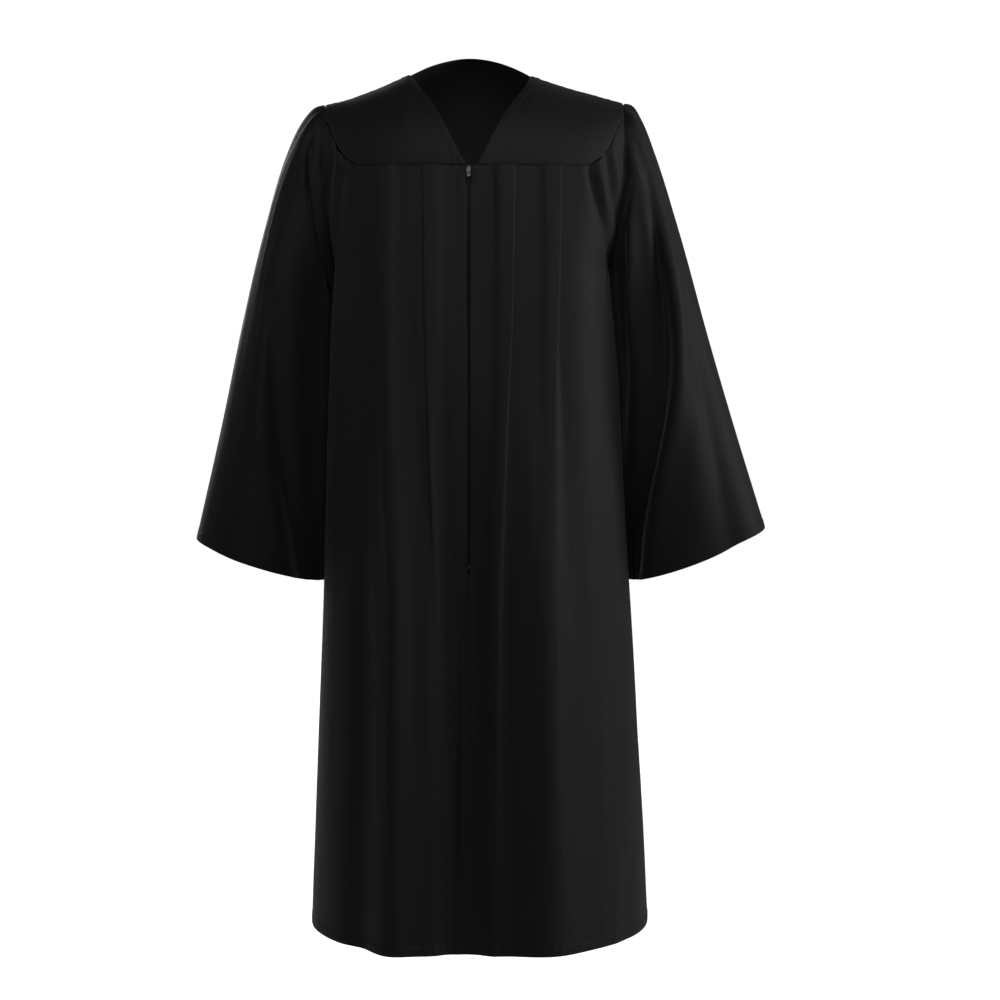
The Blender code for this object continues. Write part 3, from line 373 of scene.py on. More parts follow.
# %% [markdown]
# ## Pleats and folds
# Under the yoke each half has two knife pleats, pressed flat, which come undone on the way down and
# open into soft steps. Lower down the cloth hangs in long folds. Both are sections that change with
# the height: a pleat's section folds back over itself, and a long fold is a smooth swell or dip.

# %% Tables of the pleats
# Knife pleats under the yoke. x is the folded edge, lap the cloth folded under it, open how far the
# fold has come undone, and height how proud it then stands.
PLEATS = {
    ("front", "right"): (
        table(
            "z x lap open height",
            ((-0.131, 0.0645, 0.020, 0.0, 0.005), (-0.30, 0.0625, 0.016, 0.2, 0.006),
             (-0.50, 0.056, 0.010, 0.5, 0.006), (-0.765, 0.0443, 0.006, 0.7, 0.004),
             (-1.24, 0.0292, 0.005, 0.75, 0.004)),
        ),
        table(
            "z x lap open height",
            ((-0.131, 0.128, 0.020, 0.0, 0.005), (-0.30, 0.126, 0.016, 0.2, 0.006),
             (-0.52, 0.119, 0.010, 0.6, 0.007), (-0.765, 0.104, 0.006, 1.0, 0.004),
             (-1.24, 0.112, 0.004, 1.0, 0.002)),
        ),
    ),
    ("front", "left"): (
        table(
            "z x lap open height",
            ((-0.131, 0.0645, 0.020, 0.0, 0.005), (-0.32, 0.0615, 0.016, 0.2, 0.006),
             (-0.50, 0.053, 0.010, 0.45, 0.006), (-0.765, 0.0421, 0.006, 0.65, 0.005),
             (-1.24, 0.0364, 0.005, 0.7, 0.004)),
        ),
        table(
            "z x lap open height",
            ((-0.131, 0.130, 0.020, 0.0, 0.005), (-0.32, 0.1265, 0.014, 0.25, 0.005),
             (-0.53, 0.1215, 0.008, 0.8, 0.005), (-0.765, 0.118, 0.006, 1.0, 0.002),
             (-1.24, 0.124, 0.004, 1.0, 0.001)),
        ),
    ),
    ("back", "right"): (
        table(
            "z x lap open height",
            ((-0.131, 0.048, 0.020, 0.0, 0.005), (-0.40, 0.050, 0.012, 0.6, 0.006),
             (-0.765, 0.053, 0.006, 1.0, 0.007), (-1.24, 0.060, 0.004, 1.0, 0.005)),
        ),
        table(
            "z x lap open height",
            ((-0.131, 0.118, 0.020, 0.0, 0.005), (-0.36, 0.120, 0.012, 0.5, 0.006),
             (-0.765, 0.126, 0.006, 1.0, 0.006), (-1.24, 0.138, 0.004, 1.0, 0.006)),
        ),
    ),
    ("back", "left"): (
        table(
            "z x lap open height",
            ((-0.131, 0.048, 0.020, 0.0, 0.005), (-0.36, 0.049, 0.012, 0.6, 0.006),
             (-0.765, 0.050, 0.006, 1.0, 0.006), (-1.24, 0.054, 0.004, 1.0, 0.006)),
        ),
        table(
            "z x lap open height",
            ((-0.131, 0.118, 0.020, 0.0, 0.005), (-0.42, 0.122, 0.012, 0.6, 0.005),
             (-0.765, 0.132, 0.006, 1.0, 0.007), (-1.24, 0.150, 0.004, 1.0, 0.005)),
        ),
    ),
}
# One knife pleat across its folded edge, pressed shut and come open. t is the place along the
# cloth from the folded edge, n how far it stands out. Pressed t counts laps and then millimetres.
PLEAT = table(
    "laps shut_t shut_n open_t open_n",
    ((-1, -12.0, 0.0, -30.0, 0.00), (-1, -2.0, 4.2, -17.0, 0.45), (-0.5, 0.0, 4.8, -9.0, 0.85),
     (0, -1.5, 4.8, -3.0, 1.00), (0, 0.0, 3.6, 1.0, 0.96), (0, -1.5, 2.4, 4.0, 0.80),
     (-1, 1.5, 2.4, 8.0, 0.50), (-1, 0.0, 1.2, 12.0, 0.25), (-1, 1.5, 0.0, 17.0, 0.08),
     (-0.3, 0.0, 0.0, 23.0, 0.00), (0, 9.0, 0.0, 32.0, 0.00)),
)

# %% Tables of the long folds
# Long soft folds of the body. x is the crest, height its rise (below zero a valley), and inner and
# outer how wide it falls away towards the middle and towards the side. Down the middle of the front
# the cloth hangs in one valley, the same on both sides of the zip.
CENTRE_VALLEY = table(
    "z x height inner outer",
    ((-0.30, 0.0, 0.0, 0.030, 0.030), (-0.40, 0.0, 0.0, 0.030, 0.030), (-0.60, 0.0, -0.010, 0.030, 0.032),
     (-0.80, 0.0, -0.018, 0.030, 0.034), (-1.24, 0.0, -0.020, 0.030, 0.036)),
)
BODY_FOLDS = {
    ("front", "right"): (
        CENTRE_VALLEY,
        table(
            "z x height inner outer",
            ((-0.131, 0.104, 0.0, 0.028, 0.034), (-0.30, 0.106, 0.004, 0.026, 0.034),
             (-0.45, 0.102, 0.010, 0.025, 0.034), (-0.60, 0.100, 0.016, 0.026, 0.034),
             (-0.80, 0.101, 0.021, 0.027, 0.036), (-1.24, 0.104, 0.021, 0.029, 0.040)),
        ),
        table(
            "z x height inner outer",
            ((-0.36, 0.043, 0.0, 0.016, 0.012), (-0.60, 0.041, -0.007, 0.017, 0.012),
             (-0.80, 0.036, -0.011, 0.018, 0.013), (-1.24, 0.031, -0.008, 0.019, 0.014)),
        ),
        table(
            "z x height inner outer",
            ((-0.131, 0.130, 0.0, 0.020, 0.020), (-0.50, 0.150, 0.001, 0.020, 0.020),
             (-0.80, 0.145, -0.007, 0.022, 0.022), (-1.24, 0.150, -0.007, 0.024, 0.026)),
        ),
    ),
    ("front", "left"): (
        CENTRE_VALLEY,
        table(
            "z x height inner outer",
            ((-0.131, 0.085, 0.0, 0.020, 0.040), (-0.45, 0.082, 0.003, 0.020, 0.040),
             (-0.60, 0.094, 0.009, 0.026, 0.044), (-0.80, 0.108, 0.016, 0.034, 0.046),
             (-1.24, 0.116, 0.020, 0.040, 0.054)),
        ),
        table(
            "z x height inner outer",
            ((-0.131, 0.160, 0.0, 0.026, 0.026), (-0.45, 0.165, 0.003, 0.030, 0.026),
             (-0.80, 0.180, 0.005, 0.026, 0.028), (-1.24, 0.195, 0.004, 0.030, 0.030)),
        ),
    ),
    ("back", "right"): (
        table(
            "z x height inner outer",
            ((-0.131, 0.085, 0.0, 0.030, 0.030), (-0.50, 0.085, -0.005, 0.022, 0.022),
             (-0.90, 0.095, -0.012, 0.024, 0.024), (-1.24, 0.100, -0.013, 0.026, 0.026)),
        ),
        table(
            "z x height inner outer",
            ((-0.131, 0.150, 0.0, 0.030, 0.030), (-0.60, 0.150, 0.005, 0.030, 0.030),
             (-1.24, 0.165, 0.010, 0.035, 0.040)),
        ),
    ),
    ("back", "left"): (
        table(
            "z x height inner outer",
            ((-0.131, 0.080, 0.0, 0.030, 0.030), (-0.45, 0.082, -0.004, 0.022, 0.022),
             (-0.85, 0.088, -0.010, 0.026, 0.024), (-1.24, 0.096, -0.014, 0.026, 0.030)),
        ),
        table(
            "z x height inner outer",
            ((-0.131, 0.160, 0.0, 0.030, 0.030), (-0.70, 0.165, 0.006, 0.034, 0.030),
             (-1.24, 0.185, 0.009, 0.040, 0.040)),
        ),
    ),
}

# %% Tables of the corner's creases
# Creases of the gathers where a front turns up beside the yoke's corner, in the same columns
CORNER_CREASES = {
    "right": (
        table(
            "z x height inner outer",
            ((-0.275, 0.186, 0.0, 0.006, 0.007), (-0.190, 0.182, -0.0022, 0.006, 0.007),
             (-0.150, 0.180, -0.0040, 0.005, 0.006), (-0.128, 0.174, -0.0030, 0.004, 0.006)),
        ),
        table(
            "z x height inner outer",
            ((-0.250, 0.192, 0.0, 0.006, 0.006), (-0.170, 0.190, 0.0022, 0.005, 0.006),
             (-0.130, 0.184, 0.0034, 0.005, 0.005), (-0.100, 0.186, 0.0020, 0.004, 0.004)),
        ),
        table(
            "z x height inner outer",
            ((-0.220, 0.198, 0.0, 0.005, 0.006), (-0.160, 0.1965, -0.0024, 0.005, 0.006),
             (-0.120, 0.1925, -0.0036, 0.004, 0.005), (-0.085, 0.196, -0.0020, 0.004, 0.004)),
        ),
    ),
    "left": (
        table(
            "z x height inner outer",
            ((-0.272, 0.1965, -0.0010, 0.006, 0.006), (-0.235, 0.1925, -0.0048, 0.006, 0.007),
             (-0.194, 0.1835, -0.0075, 0.006, 0.008), (-0.158, 0.1746, -0.0070, 0.005, 0.007),
             (-0.128, 0.1675, -0.0040, 0.005, 0.006)),
        ),
        table(
            "z x height inner outer",
            ((-0.262, 0.204, 0.0, 0.008, 0.008), (-0.215, 0.199, 0.0030, 0.008, 0.009),
             (-0.165, 0.187, 0.0062, 0.007, 0.007), (-0.125, 0.180, 0.0048, 0.006, 0.007)),
        ),
        table(
            "z x height inner outer",
            ((-0.225, 0.205, 0.0, 0.007, 0.007), (-0.175, 0.200, -0.0050, 0.006, 0.007),
             (-0.140, 0.1965, -0.0058, 0.005, 0.006), (-0.105, 0.191, -0.0036, 0.004, 0.005)),
        ),
        table(
            "z x height inner outer",
            ((-0.190, 0.210, 0.0, 0.005, 0.005), (-0.140, 0.2085, 0.0030, 0.005, 0.005),
             (-0.105, 0.202, 0.0026, 0.004, 0.005), (-0.085, 0.204, 0.0, 0.004, 0.004)),
        ),
    ),
}

# %% A section across one half
def fold_heights(folds, x, z):
    """Height of a group of folds over the smooth form."""
    height = np.zeros_like(x)
    for fold in folds:
        crest = read(fold, "x", z)
        width = np.where(x < crest, read(fold, "inner", z), read(fold, "outer", z))
        height += read(fold, "height", z) * np.exp(-(((x - crest) / width) ** 2))
    return height


def pleat_section(pleat, z, room):
    """Places and heights across one pleat at a height. room is the free cloth towards the middle."""
    fold = read(pleat, "x", z)
    lap = read(pleat, "lap", z)
    undone = read(pleat, "open", z)
    proud = read(pleat, "height", z)
    shut_t = PLEAT["laps"] * lap + PLEAT["shut_t"] * MM
    shut_n = PLEAT["shut_n"] * MM
    open_t = PLEAT["open_t"] * MM
    open_t = np.where(open_t < 0, open_t * min(1.0, room / abs(open_t[0])), open_t)
    open_n = PLEAT["open_n"] * proud
    return fold + shut_t + (open_t - shut_t) * undone, shut_n + (open_n - shut_n) * undone


# Close to an edge the columns crowd together, because a sewn edge rolls under within a few millimetres
EDGE_STEPS = np.array([0.0010, 0.0025, 0.0060])
PLEAT_ROOM = 0.8
PLEAT_STEPS = (4, 3, 3, 2, 2, 4, 2, 2, 3, 4)
FREE_STEPS = {"front": (12, 10, 30), "back": (9, 8, 22)}


def section_points(side, face, z, start, end):
    """Across one half at a height: places along the cloth, and heights over the smooth form."""
    places = [[start], start + EDGE_STEPS]
    heights = [[0.0], 0.0 * EDGE_STEPS]
    last = start
    for pleat in PLEATS[face, side]:
        t, n = pleat_section(pleat, z, (read(pleat, "x", z) - last) * PLEAT_ROOM)
        places.append(t)
        heights.append(n)
        last = t[-1]
    places += [end - EDGE_STEPS[::-1], [end]]
    heights += [0.0 * EDGE_STEPS, [0.0]]
    return np.concatenate(places), np.concatenate(heights)


def fine_columns(face):
    """How far each fine column lies along the points of a section, counted in points."""
    middle, between, outer = FREE_STEPS[face]
    edge = (1,) * len(EDGE_STEPS)
    steps = edge + (middle,) + PLEAT_STEPS + (between,) + PLEAT_STEPS + (outer,) + edge
    return np.concatenate([start + np.arange(count) / count for start, count in enumerate(steps)] + [[len(steps)]])


def fine_section(side, face, z, start, end):
    """The section again with rounded folds, and with many more points."""
    t, n = section_points(side, face, z, start, end)
    run = np.concatenate([[0.0], np.cumsum(np.hypot(np.diff(t), np.diff(n)))])
    at = np.interp(fine_columns(face), np.arange(len(run)), run)
    way = {"run": run, "t": t, "n": n}
    return read(way, "t", at), read(way, "n", at)


print("columns across a half:", {face: len(fine_columns(face)) for face in FACING})

# %% [markdown]
# ## Soft unevenness
# Real cloth is never quite smooth: faint streaks run down it where the weave gives. A few waves of
# unequal length, laid over one another, make such streaks, the same ones each time.

# %% Unevenness
WAVES = 14


def uneven(across, down, waves_across, waves_down, seed, closed=False):
    """Soft unevenness of about one up or down. The waves are counted for each metre both ways,
    and a closed ring has whole waves across it."""
    chance = np.random.default_rng(seed)
    total = np.zeros(np.broadcast(across, down).shape)
    for _ in range(WAVES):
        count = chance.uniform(*waves_across)
        turns = across * (round(count) if closed else count) + down * chance.uniform(*waves_down)
        total += np.sin(2 * math.pi * (turns + chance.uniform()))
    return total / math.sqrt(WAVES / 2)


def body_streaks(side, face, x, z):
    """Faint streaks down a panel, stronger in some places than in others."""
    seed = {"right": 0, "left": 1}[side] + {"front": 0, "back": 2}[face]
    broad = uneven(x, z, (14, 30), (-2.5, 2.5), 11 + seed)
    fine = uneven(x, z, (40, 80), (-6, 6), 31 + seed)
    where = 0.5 + 0.5 * uneven(x, z, (3, 8), (-3, 3), 51 + seed)
    return STREAK * broad + FINE_STREAK * fine * where


STREAK = 0.00024
FINE_STREAK = 0.00009
print("streak height in mm:", STREAK / MM)

# %% [markdown]
# ## Cloth, tape, thread and metal
# The gown is matt plain-weave polyester, dyed black, with a faint sheen. Seen close, its warp and weft
# pass over and under each other, and some threads are a little thicker than others. A node group
# makes that weave once, from the cloth's own map, and each woven material places it with its own
# thread size. The metal is dark enamel, worn bright where hands rub it.

# %% The weave as a node group
def new_group(name, inputs, outputs):
    """An empty shader group with its sockets: inputs as (name, kind, value), outputs as names."""
    made = bpy.data.node_groups.new(name, "ShaderNodeTree")
    for socket, kind, value in inputs:
        made.interface.new_socket(name=socket, in_out="INPUT", socket_type=kind).default_value = value
    for socket in outputs:
        made.interface.new_socket(name=socket, in_out="OUTPUT", socket_type="NodeSocketFloat")
    return made, made.nodes.new("NodeGroupInput"), made.nodes.new("NodeGroupOutput")


def number(tree, operation, first, second=0.0, third=0.0):
    """A maths node, and what comes out of it."""
    made = joined(tree, "ShaderNodeMath", {0: first, 1: second, 2: third}, operation=operation)
    return made.outputs[0]


def stretched_noise(tree, vector, stretch, detail):
    """Noise with a grain of its own size each way, in counts for each metre."""
    scaled = joined(tree, "ShaderNodeVectorMath", {0: vector, 1: stretch}, operation="MULTIPLY")
    noise = joined(tree, "ShaderNodeTexNoise", {"Vector": scaled.outputs[0], "Scale": 1.0, "Detail": detail})
    return noise.outputs["Fac"]


weave, weave_in, weave_out = new_group(
    "woven threads",
    (("Cloth map", "NodeSocketVector", (0.0, 0.0, 0.0)), ("Thread pitch", "NodeSocketFloat", 0.0005),
     ("Twill", "NodeSocketFloat", 0.0), ("Slub", "NodeSocketFloat", 0.5)),
    ("Height", "Shade"),
)
map_parts = joined(weave, "ShaderNodeSeparateXYZ", {0: weave_in.outputs["Cloth map"]})
turns = number(weave, "DIVIDE", 2 * math.pi, weave_in.outputs["Thread pitch"])
skewed = number(weave, "MULTIPLY_ADD", map_parts.outputs["Y"], weave_in.outputs["Twill"], map_parts.outputs["X"])
warp = number(weave, "SINE", number(weave, "MULTIPLY", skewed, turns))
weft = number(weave, "SINE", number(weave, "MULTIPLY", map_parts.outputs["Y"], turns))
over_under = number(weave, "MULTIPLY_ADD", number(weave, "MULTIPLY", warp, weft), 0.5, 0.5)
thick_warp = stretched_noise(weave, weave_in.outputs["Cloth map"], (900.0, 14.0, 1.0), 2.0)
thick_weft = stretched_noise(weave, weave_in.outputs["Cloth map"], (14.0, 900.0, 1.0), 2.0)
slubs = number(weave, "MULTIPLY", number(weave, "ADD", thick_warp, thick_weft), weave_in.outputs["Slub"])
weave.links.new(number(weave, "ADD", over_under, slubs), weave_out.inputs["Height"])
clouds = stretched_noise(weave, weave_in.outputs["Cloth map"], (30.0, 6.0, 1.0), 3.0)
weave.links.new(number(weave, "MULTIPLY_ADD", slubs, 0.5, number(weave, "MULTIPLY", clouds, 0.6)), weave_out.inputs["Shade"])
print("weave sockets:", [item.name for item in weave.interface.items_tree])

# %% Woven materials
def between(tree, factor, dark, light):
    """A colour between two, by a factor that changes over the surface."""
    made = joined(tree, "ShaderNodeMix", data_type="RGBA")
    tree.links.new(factor, made.inputs["Factor"])
    made.inputs[6].default_value = (*dark, 1.0)
    made.inputs[7].default_value = (*light, 1.0)
    return made.outputs[2]


def woven(name, dark, light, pitch, twill, slub, bump, rough, constants):
    """A woven cloth: its colour and roughness vary a little with the threads."""
    made = bpy.data.materials.new(name)
    made.use_nodes = True
    tree = made.node_tree
    shader = tree.nodes["Principled BSDF"]
    cloth_map = joined(tree, "ShaderNodeUVMap", uv_map="cloth")
    threads = joined(tree, "ShaderNodeGroup", node_tree=weave)
    tree.links.new(cloth_map.outputs["UV"], threads.inputs["Cloth map"])
    threads.inputs["Thread pitch"].default_value = pitch
    threads.inputs["Twill"].default_value = twill
    threads.inputs["Slub"].default_value = slub
    shade = threads.outputs["Shade"]
    tree.links.new(between(tree, shade, dark, light), shader.inputs["Base Color"])
    roughness = joined(tree, "ShaderNodeMapRange", {"Value": shade, "To Min": rough + 0.06, "To Max": rough - 0.06})
    tree.links.new(roughness.outputs["Result"], shader.inputs["Roughness"])
    relief = joined(tree, "ShaderNodeBump", {"Height": threads.outputs["Height"], "Strength": bump, "Distance": pitch / 2})
    tree.links.new(relief.outputs["Normal"], shader.inputs["Normal"])
    for socket, value in constants.items():
        shader.inputs[socket].default_value = value
    return made


MATERIALS = {
    "gown_cloth": woven(
        "black_polyester", (0.0075, 0.0075, 0.0082), (0.0115, 0.0115, 0.0128), 0.0005, 0.0, 0.35, 0.25, 0.62,
        {"Specular IOR Level": 0.28, "Sheen Weight": 0.10, "Sheen Roughness": 0.45,
         "Sheen Tint": (0.86, 0.90, 1.0, 1.0)},
    ),
    "zip_tape": woven(
        "zip_tape_weave", (0.006, 0.006, 0.006), (0.012, 0.012, 0.013), 0.0008, 1.0, 0.5, 0.5, 0.75,
        {"Specular IOR Level": 0.25, "Sheen Weight": 0.05},
    ),
}
print("woven:", ", ".join(MATERIALS))

# %% Thread, coil and metal
def small_part(name, dark, light, grain, bump, rough, constants, worn=None):
    """Thread, nylon or metal: a fine grain on the piece's own place, worn on raised edges if asked."""
    made = bpy.data.materials.new(name)
    made.use_nodes = True
    tree = made.node_tree
    shader = tree.nodes["Principled BSDF"]
    place = joined(tree, "ShaderNodeTexCoord").outputs["Object"]
    noise = stretched_noise(tree, place, grain, 4.0)
    colour = between(tree, noise, dark, light)
    if worn:
        edge = joined(tree, "ShaderNodeNewGeometry").outputs["Pointiness"]
        rubbed = joined(tree, "ShaderNodeMapRange", {"Value": edge, "From Min": 0.52, "From Max": 0.60})
        patchy = number(tree, "MULTIPLY", rubbed.outputs["Result"], noise)
        mixed = joined(tree, "ShaderNodeMix", {"Factor": patchy}, data_type="RGBA")
        tree.links.new(colour, mixed.inputs[6])
        mixed.inputs[7].default_value = (*worn, 1.0)
        colour = mixed.outputs[2]
    tree.links.new(colour, shader.inputs["Base Color"])
    roughness = joined(tree, "ShaderNodeMapRange", {"Value": noise, "To Min": rough - 0.08, "To Max": rough + 0.08})
    tree.links.new(roughness.outputs["Result"], shader.inputs["Roughness"])
    relief = joined(tree, "ShaderNodeBump", {"Height": noise, "Strength": bump, "Distance": 0.0001})
    tree.links.new(relief.outputs["Normal"], shader.inputs["Normal"])
    for socket, value in constants.items():
        shader.inputs[socket].default_value = value
    return made


MATERIALS["thread"] = small_part(
    "black_thread", (0.008, 0.008, 0.009), (0.022, 0.022, 0.024), (3000.0, 3000.0, 3000.0), 0.4, 0.45,
    {"Specular IOR Level": 0.4, "Sheen Weight": 0.1},
)
MATERIALS["coil"] = small_part(
    "black_nylon", (0.006, 0.006, 0.006), (0.012, 0.012, 0.012), (1500.0, 1500.0, 1500.0), 0.2, 0.38,
    {"Specular IOR Level": 0.5},
)
MATERIALS["zip_metal"] = small_part(
    "dark_enamelled_metal", (0.10, 0.10, 0.105), (0.16, 0.16, 0.17), (900.0, 900.0, 900.0), 0.25, 0.34,
    {"Metallic": 1.0, "Coat Weight": 0.25, "Coat Roughness": 0.2}, worn=(0.62, 0.62, 0.64),
)
print("materials:", ", ".join(MATERIALS))

# %% [markdown]
# ## Making cloth
# A panel is first a grid of points: rows down the cloth and columns across it. The grid becomes one
# sheet, and Solidify gives it a thickness to both sides. A hem is cloth turned twice, so it is
# thicker: the weights of a vertex group say where. Each sheet also gets a map of its cloth in
# metres, so that the weave keeps its size and follows the folds.

# %% Grid helpers
def outward(grid, closed):
    """The way out from each point of a grid."""
    down = np.gradient(grid, axis=0)
    if closed:
        across = (np.roll(grid, -1, axis=1) - np.roll(grid, 1, axis=1)) / 2
    else:
        across = np.gradient(grid, axis=1)
    normal = np.cross(across, down)
    normal /= np.maximum(np.linalg.norm(normal, axis=-1, keepdims=True), 1e-12)
    return normal


def lengths(grid, axis):
    """Cloth length from the first row or column to each point."""
    steps = np.linalg.norm(np.diff(grid, axis=axis), axis=-1)
    start = np.zeros_like(np.take(steps, [0], axis=axis))
    return np.concatenate([start, np.cumsum(steps, axis=axis)], axis=axis)


def show_alone(piece):
    """Select one piece and make it the active one."""
    bpy.ops.object.select_all(action="DESELECT")
    piece.select_set(True)
    bpy.context.view_layer.objects.active = piece


def apply_all(piece, smooth_degrees):
    """Apply a piece's modifiers and shade it smooth, except over sharp edges."""
    show_alone(piece)
    for modifier in list(piece.modifiers):
        bpy.ops.object.modifier_apply(modifier=modifier.name)
    bpy.ops.object.shade_smooth_by_angle(angle=math.radians(smooth_degrees))


def cloth_piece(name, grid, closed=False, hem=None, wall=WALL, paint="gown_cloth"):
    """A sheet of cloth over a grid. hem is 1 where the cloth is turned, and 0 elsewhere."""
    rows, columns = grid.shape[:2]
    index = np.arange(rows * columns).reshape(rows, columns)
    wide = grid
    if closed:
        index = np.concatenate([index, index[:, :1]], axis=1)
        wide = np.concatenate([grid, grid[:, :1]], axis=1)
    flat = np.stack([lengths(wide, 1), lengths(wide, 0)], axis=-1)
    corners = [index[:-1, :-1], index[1:, :-1], index[1:, 1:], index[:-1, 1:]]
    places = [flat[:-1, :-1], flat[1:, :-1], flat[1:, 1:], flat[:-1, 1:]]
    mesh = bpy.data.meshes.new(name)
    mesh.from_pydata(grid.reshape(-1, 3).tolist(), [], np.stack(corners, axis=-1).reshape(-1, 4).tolist())
    cloth_map = mesh.uv_layers.new(name="cloth")
    cloth_map.data.foreach_set("uv", np.stack(places, axis=2).astype(np.float32).ravel())
    piece = bpy.data.objects.new(name, mesh)
    bpy.context.scene.collection.objects.link(piece)
    thick = piece.modifiers.new("wall", "SOLIDIFY")
    thick.offset = 0.0
    thick.use_rim = True
    thick.thickness = wall
    if hem is not None:
        turned = piece.vertex_groups.new(name="turned")
        for number, weight in enumerate(hem.ravel()):
            if weight > 0:
                turned.add([number], float(weight), "REPLACE")
        thick.thickness = HEM_WALL
        thick.thickness_vertex_group = wall / HEM_WALL
        thick.vertex_group = "turned"
    apply_all(piece, 55)
    piece.data.materials.append(MATERIALS[paint])
    body = "gown"
    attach(piece, body)
    area = np.linalg.norm(np.cross(grid[1:, 1:] - grid[:-1, :-1], grid[1:, :-1] - grid[:-1, 1:]), axis=-1).sum() / 2
    print(name, "faces", len(piece.data.polygons), "cloth area", round(float(area), 3), "m2")
    return piece



# %% [markdown]
# ## The two fronts
# A front runs from the zip to the side seam and hangs from the yoke, where two pleats take in its
# fullness. Beside the yoke it turns up in a corner to the armhole, with a few small gathers. Its
# middle edge is turned under along the zip, and its foot is a narrow stitched hem.

# %% Edges of a panel
ROW_STEP = 0.005
HEM_DEPTH = 0.013
HEM_ROWS = np.array([0.0, 0.0008, 0.002, 0.006, 0.0105, 0.0115, 0.0125, 0.0135, 0.0145, 0.016])
SEAM_ROWS = np.array([0.0, 0.0008, 0.002])


def rows_down(top, bottom, step, hem=HEM_ROWS):
    """Heights down a panel, closer together at the seam above and at the hem below."""
    middle = np.linspace(top - 0.005, bottom + hem[-1] + 0.003, round((top - bottom) / step))
    return np.concatenate([top - SEAM_ROWS, middle, bottom + hem[::-1]])


def rolled(distance, depth=0.0006):
    """A sewn edge rolls under."""
    return -depth * np.exp(-((distance / 0.0016) ** 2))


def puckered(distance, along, seed, height=0.00022, reach=0.012):
    """Small puckers where a row of stitches draws the cloth up."""
    waves = uneven(along, 0.0, (55, 115), (0, 0), seed)
    return height * waves * np.exp(-((distance / reach) ** 2))


def stitched_hem(distance, along, seed):
    """The relief of a turned hem: a shallow trough at the stitches, with puckers beside it."""
    trough = -0.00035 * np.exp(-(((distance - HEM_DEPTH) / 0.0011) ** 2))
    return trough + puckered(distance - HEM_DEPTH, along, seed, 0.00020, 0.008) + rolled(distance, 0.0003)


def hem_weight(distance):
    """1 over the turned cloth of a hem, and 0 above it."""
    return np.clip((HEM_DEPTH + 0.0004 - distance) / 0.0008, 0.0, 1.0)


def slit_half(z):
    """Half the opening between the two fronts: wide at the slider, a slit at the zip, then a seam."""
    wide = np.interp(z, [SLIT_NARROW_FROM_Z, SLIT_WIDE_TO_Z], [SLIT_HALF, SLIT_HALF_AT_SLIDER])
    return np.where(z < ZIP_BOTTOM_Z, np.interp(z, [SLIT_CLOSED_Z, ZIP_BOTTOM_Z], [BUTT, SLIT_HALF]), wide)


print("hem", HEM_DEPTH / MM, "mm deep")

# %% The yoke's outer edge, which a front turns up beside
def yoke_outer_edge(side, share):
    """Outer edge of a front yoke: place out from the middle, and height."""
    lift = np.cos(share * math.pi / 2) ** (2 / SHOULDER_POWER)
    x = read(YOKE_OUTER, "out", share) * read(ARMHOLE[side], "x", YOKE_SEAM_Z)
    for _ in range(4):
        z = YOKE_SEAM_Z + (read(SHOULDER[side], "z", x) - YOKE_SEAM_Z) * lift
        x = read(YOKE_OUTER, "out", share) * read(ARMHOLE[side], "x", z)
    return x, z


def corner_rise(side, x):
    """How far above the yoke seam the edge of a front yoke runs at x."""
    corner = np.linspace(1.0, CORNER_START, 60)
    edge_x, edge_z = yoke_outer_edge(side, corner)
    return np.interp(x, edge_x, edge_z - YOKE_SEAM_Z, left=0.0)


print("corner of a front rises", round(float(corner_rise("left", 0.22)) / MM), "mm")

# %% Fronts
FINE_FOLDS = {
    "right": (
        table(
            "z x height inner outer",
            ((-0.74, 0.008, 0.0, 0.007, 0.007), (-0.80, 0.008, -0.0025, 0.007, 0.007),
             (-0.995, 0.0105, -0.0045, 0.007, 0.008), (-1.12, 0.0175, -0.0050, 0.008, 0.009),
             (-1.24, 0.028, -0.0040, 0.009, 0.010)),
        ),
        table(
            "z x height inner outer",
            ((-0.50, 0.150, 0.0, 0.010, 0.014), (-0.70, 0.158, 0.0012, 0.010, 0.014),
             (-1.00, 0.172, 0.0020, 0.012, 0.016), (-1.24, 0.180, 0.0016, 0.012, 0.016)),
        ),
    ),
    "left": (
        table(
            "z x height inner outer",
            ((-0.60, 0.048, 0.0, 0.008, 0.010), (-0.80, 0.052, -0.0018, 0.009, 0.011),
             (-1.24, 0.060, -0.0022, 0.010, 0.012)),
        ),
    ),
}


def front_grid(side):
    """Half of the front, from the zip to the side seam, with its corner turned up beside the yoke."""
    top = YOKE_SEAM_Z - SEAM_GAP
    knee = -(FREE_STEPS["front"][2] + len(EDGE_STEPS) + 1)
    rows = []
    for z in rows_down(top, HEM_Z, ROW_STEP):
        ring, length, out = ring_lengths(side, "front", z)
        end = np.interp(armhole_turn(side, "front", z), ring, length) - BUTT
        t, height = fine_section(side, "front", z, float(slit_half(z)), end)
        turn = np.interp(t, length, ring)
        x = np.interp(t, length, out)
        ring_top = half_width(side, "front", YOKE_SEAM_Z) * ring_place(turn, YOKE_SEAM_Z)[0]
        fade = max(0.0, 1 - (top - z) / (top - UNDERARM_Z))
        place = z + np.maximum(corner_rise(side, ring_top) - CORNER_GAP, 0.0) * fade
        last = armhole_turn(side, "front", float(place[-1]))
        place_turn = turn.copy()
        place_turn[knee:] = turn[knee] + (turn[knee:] - turn[knee]) * (last - turn[knee]) / (turn[-1] - turn[knee])
        folds = BODY_FOLDS["front", side] + FINE_FOLDS[side]
        height = height + fold_heights(folds, x, np.full_like(x, z))
        height += body_streaks(side, "front", x, place)
        point = body_point(side, "front", place_turn, place)
        height += fold_heights(CORNER_CREASES[side], np.abs(point[:, 0]), place) * np.clip((end - t) / 0.004, 0, 1)
        rows.append(point + body_normal(side, "front", place_turn, place) * height[:, None])
    return np.array(rows)


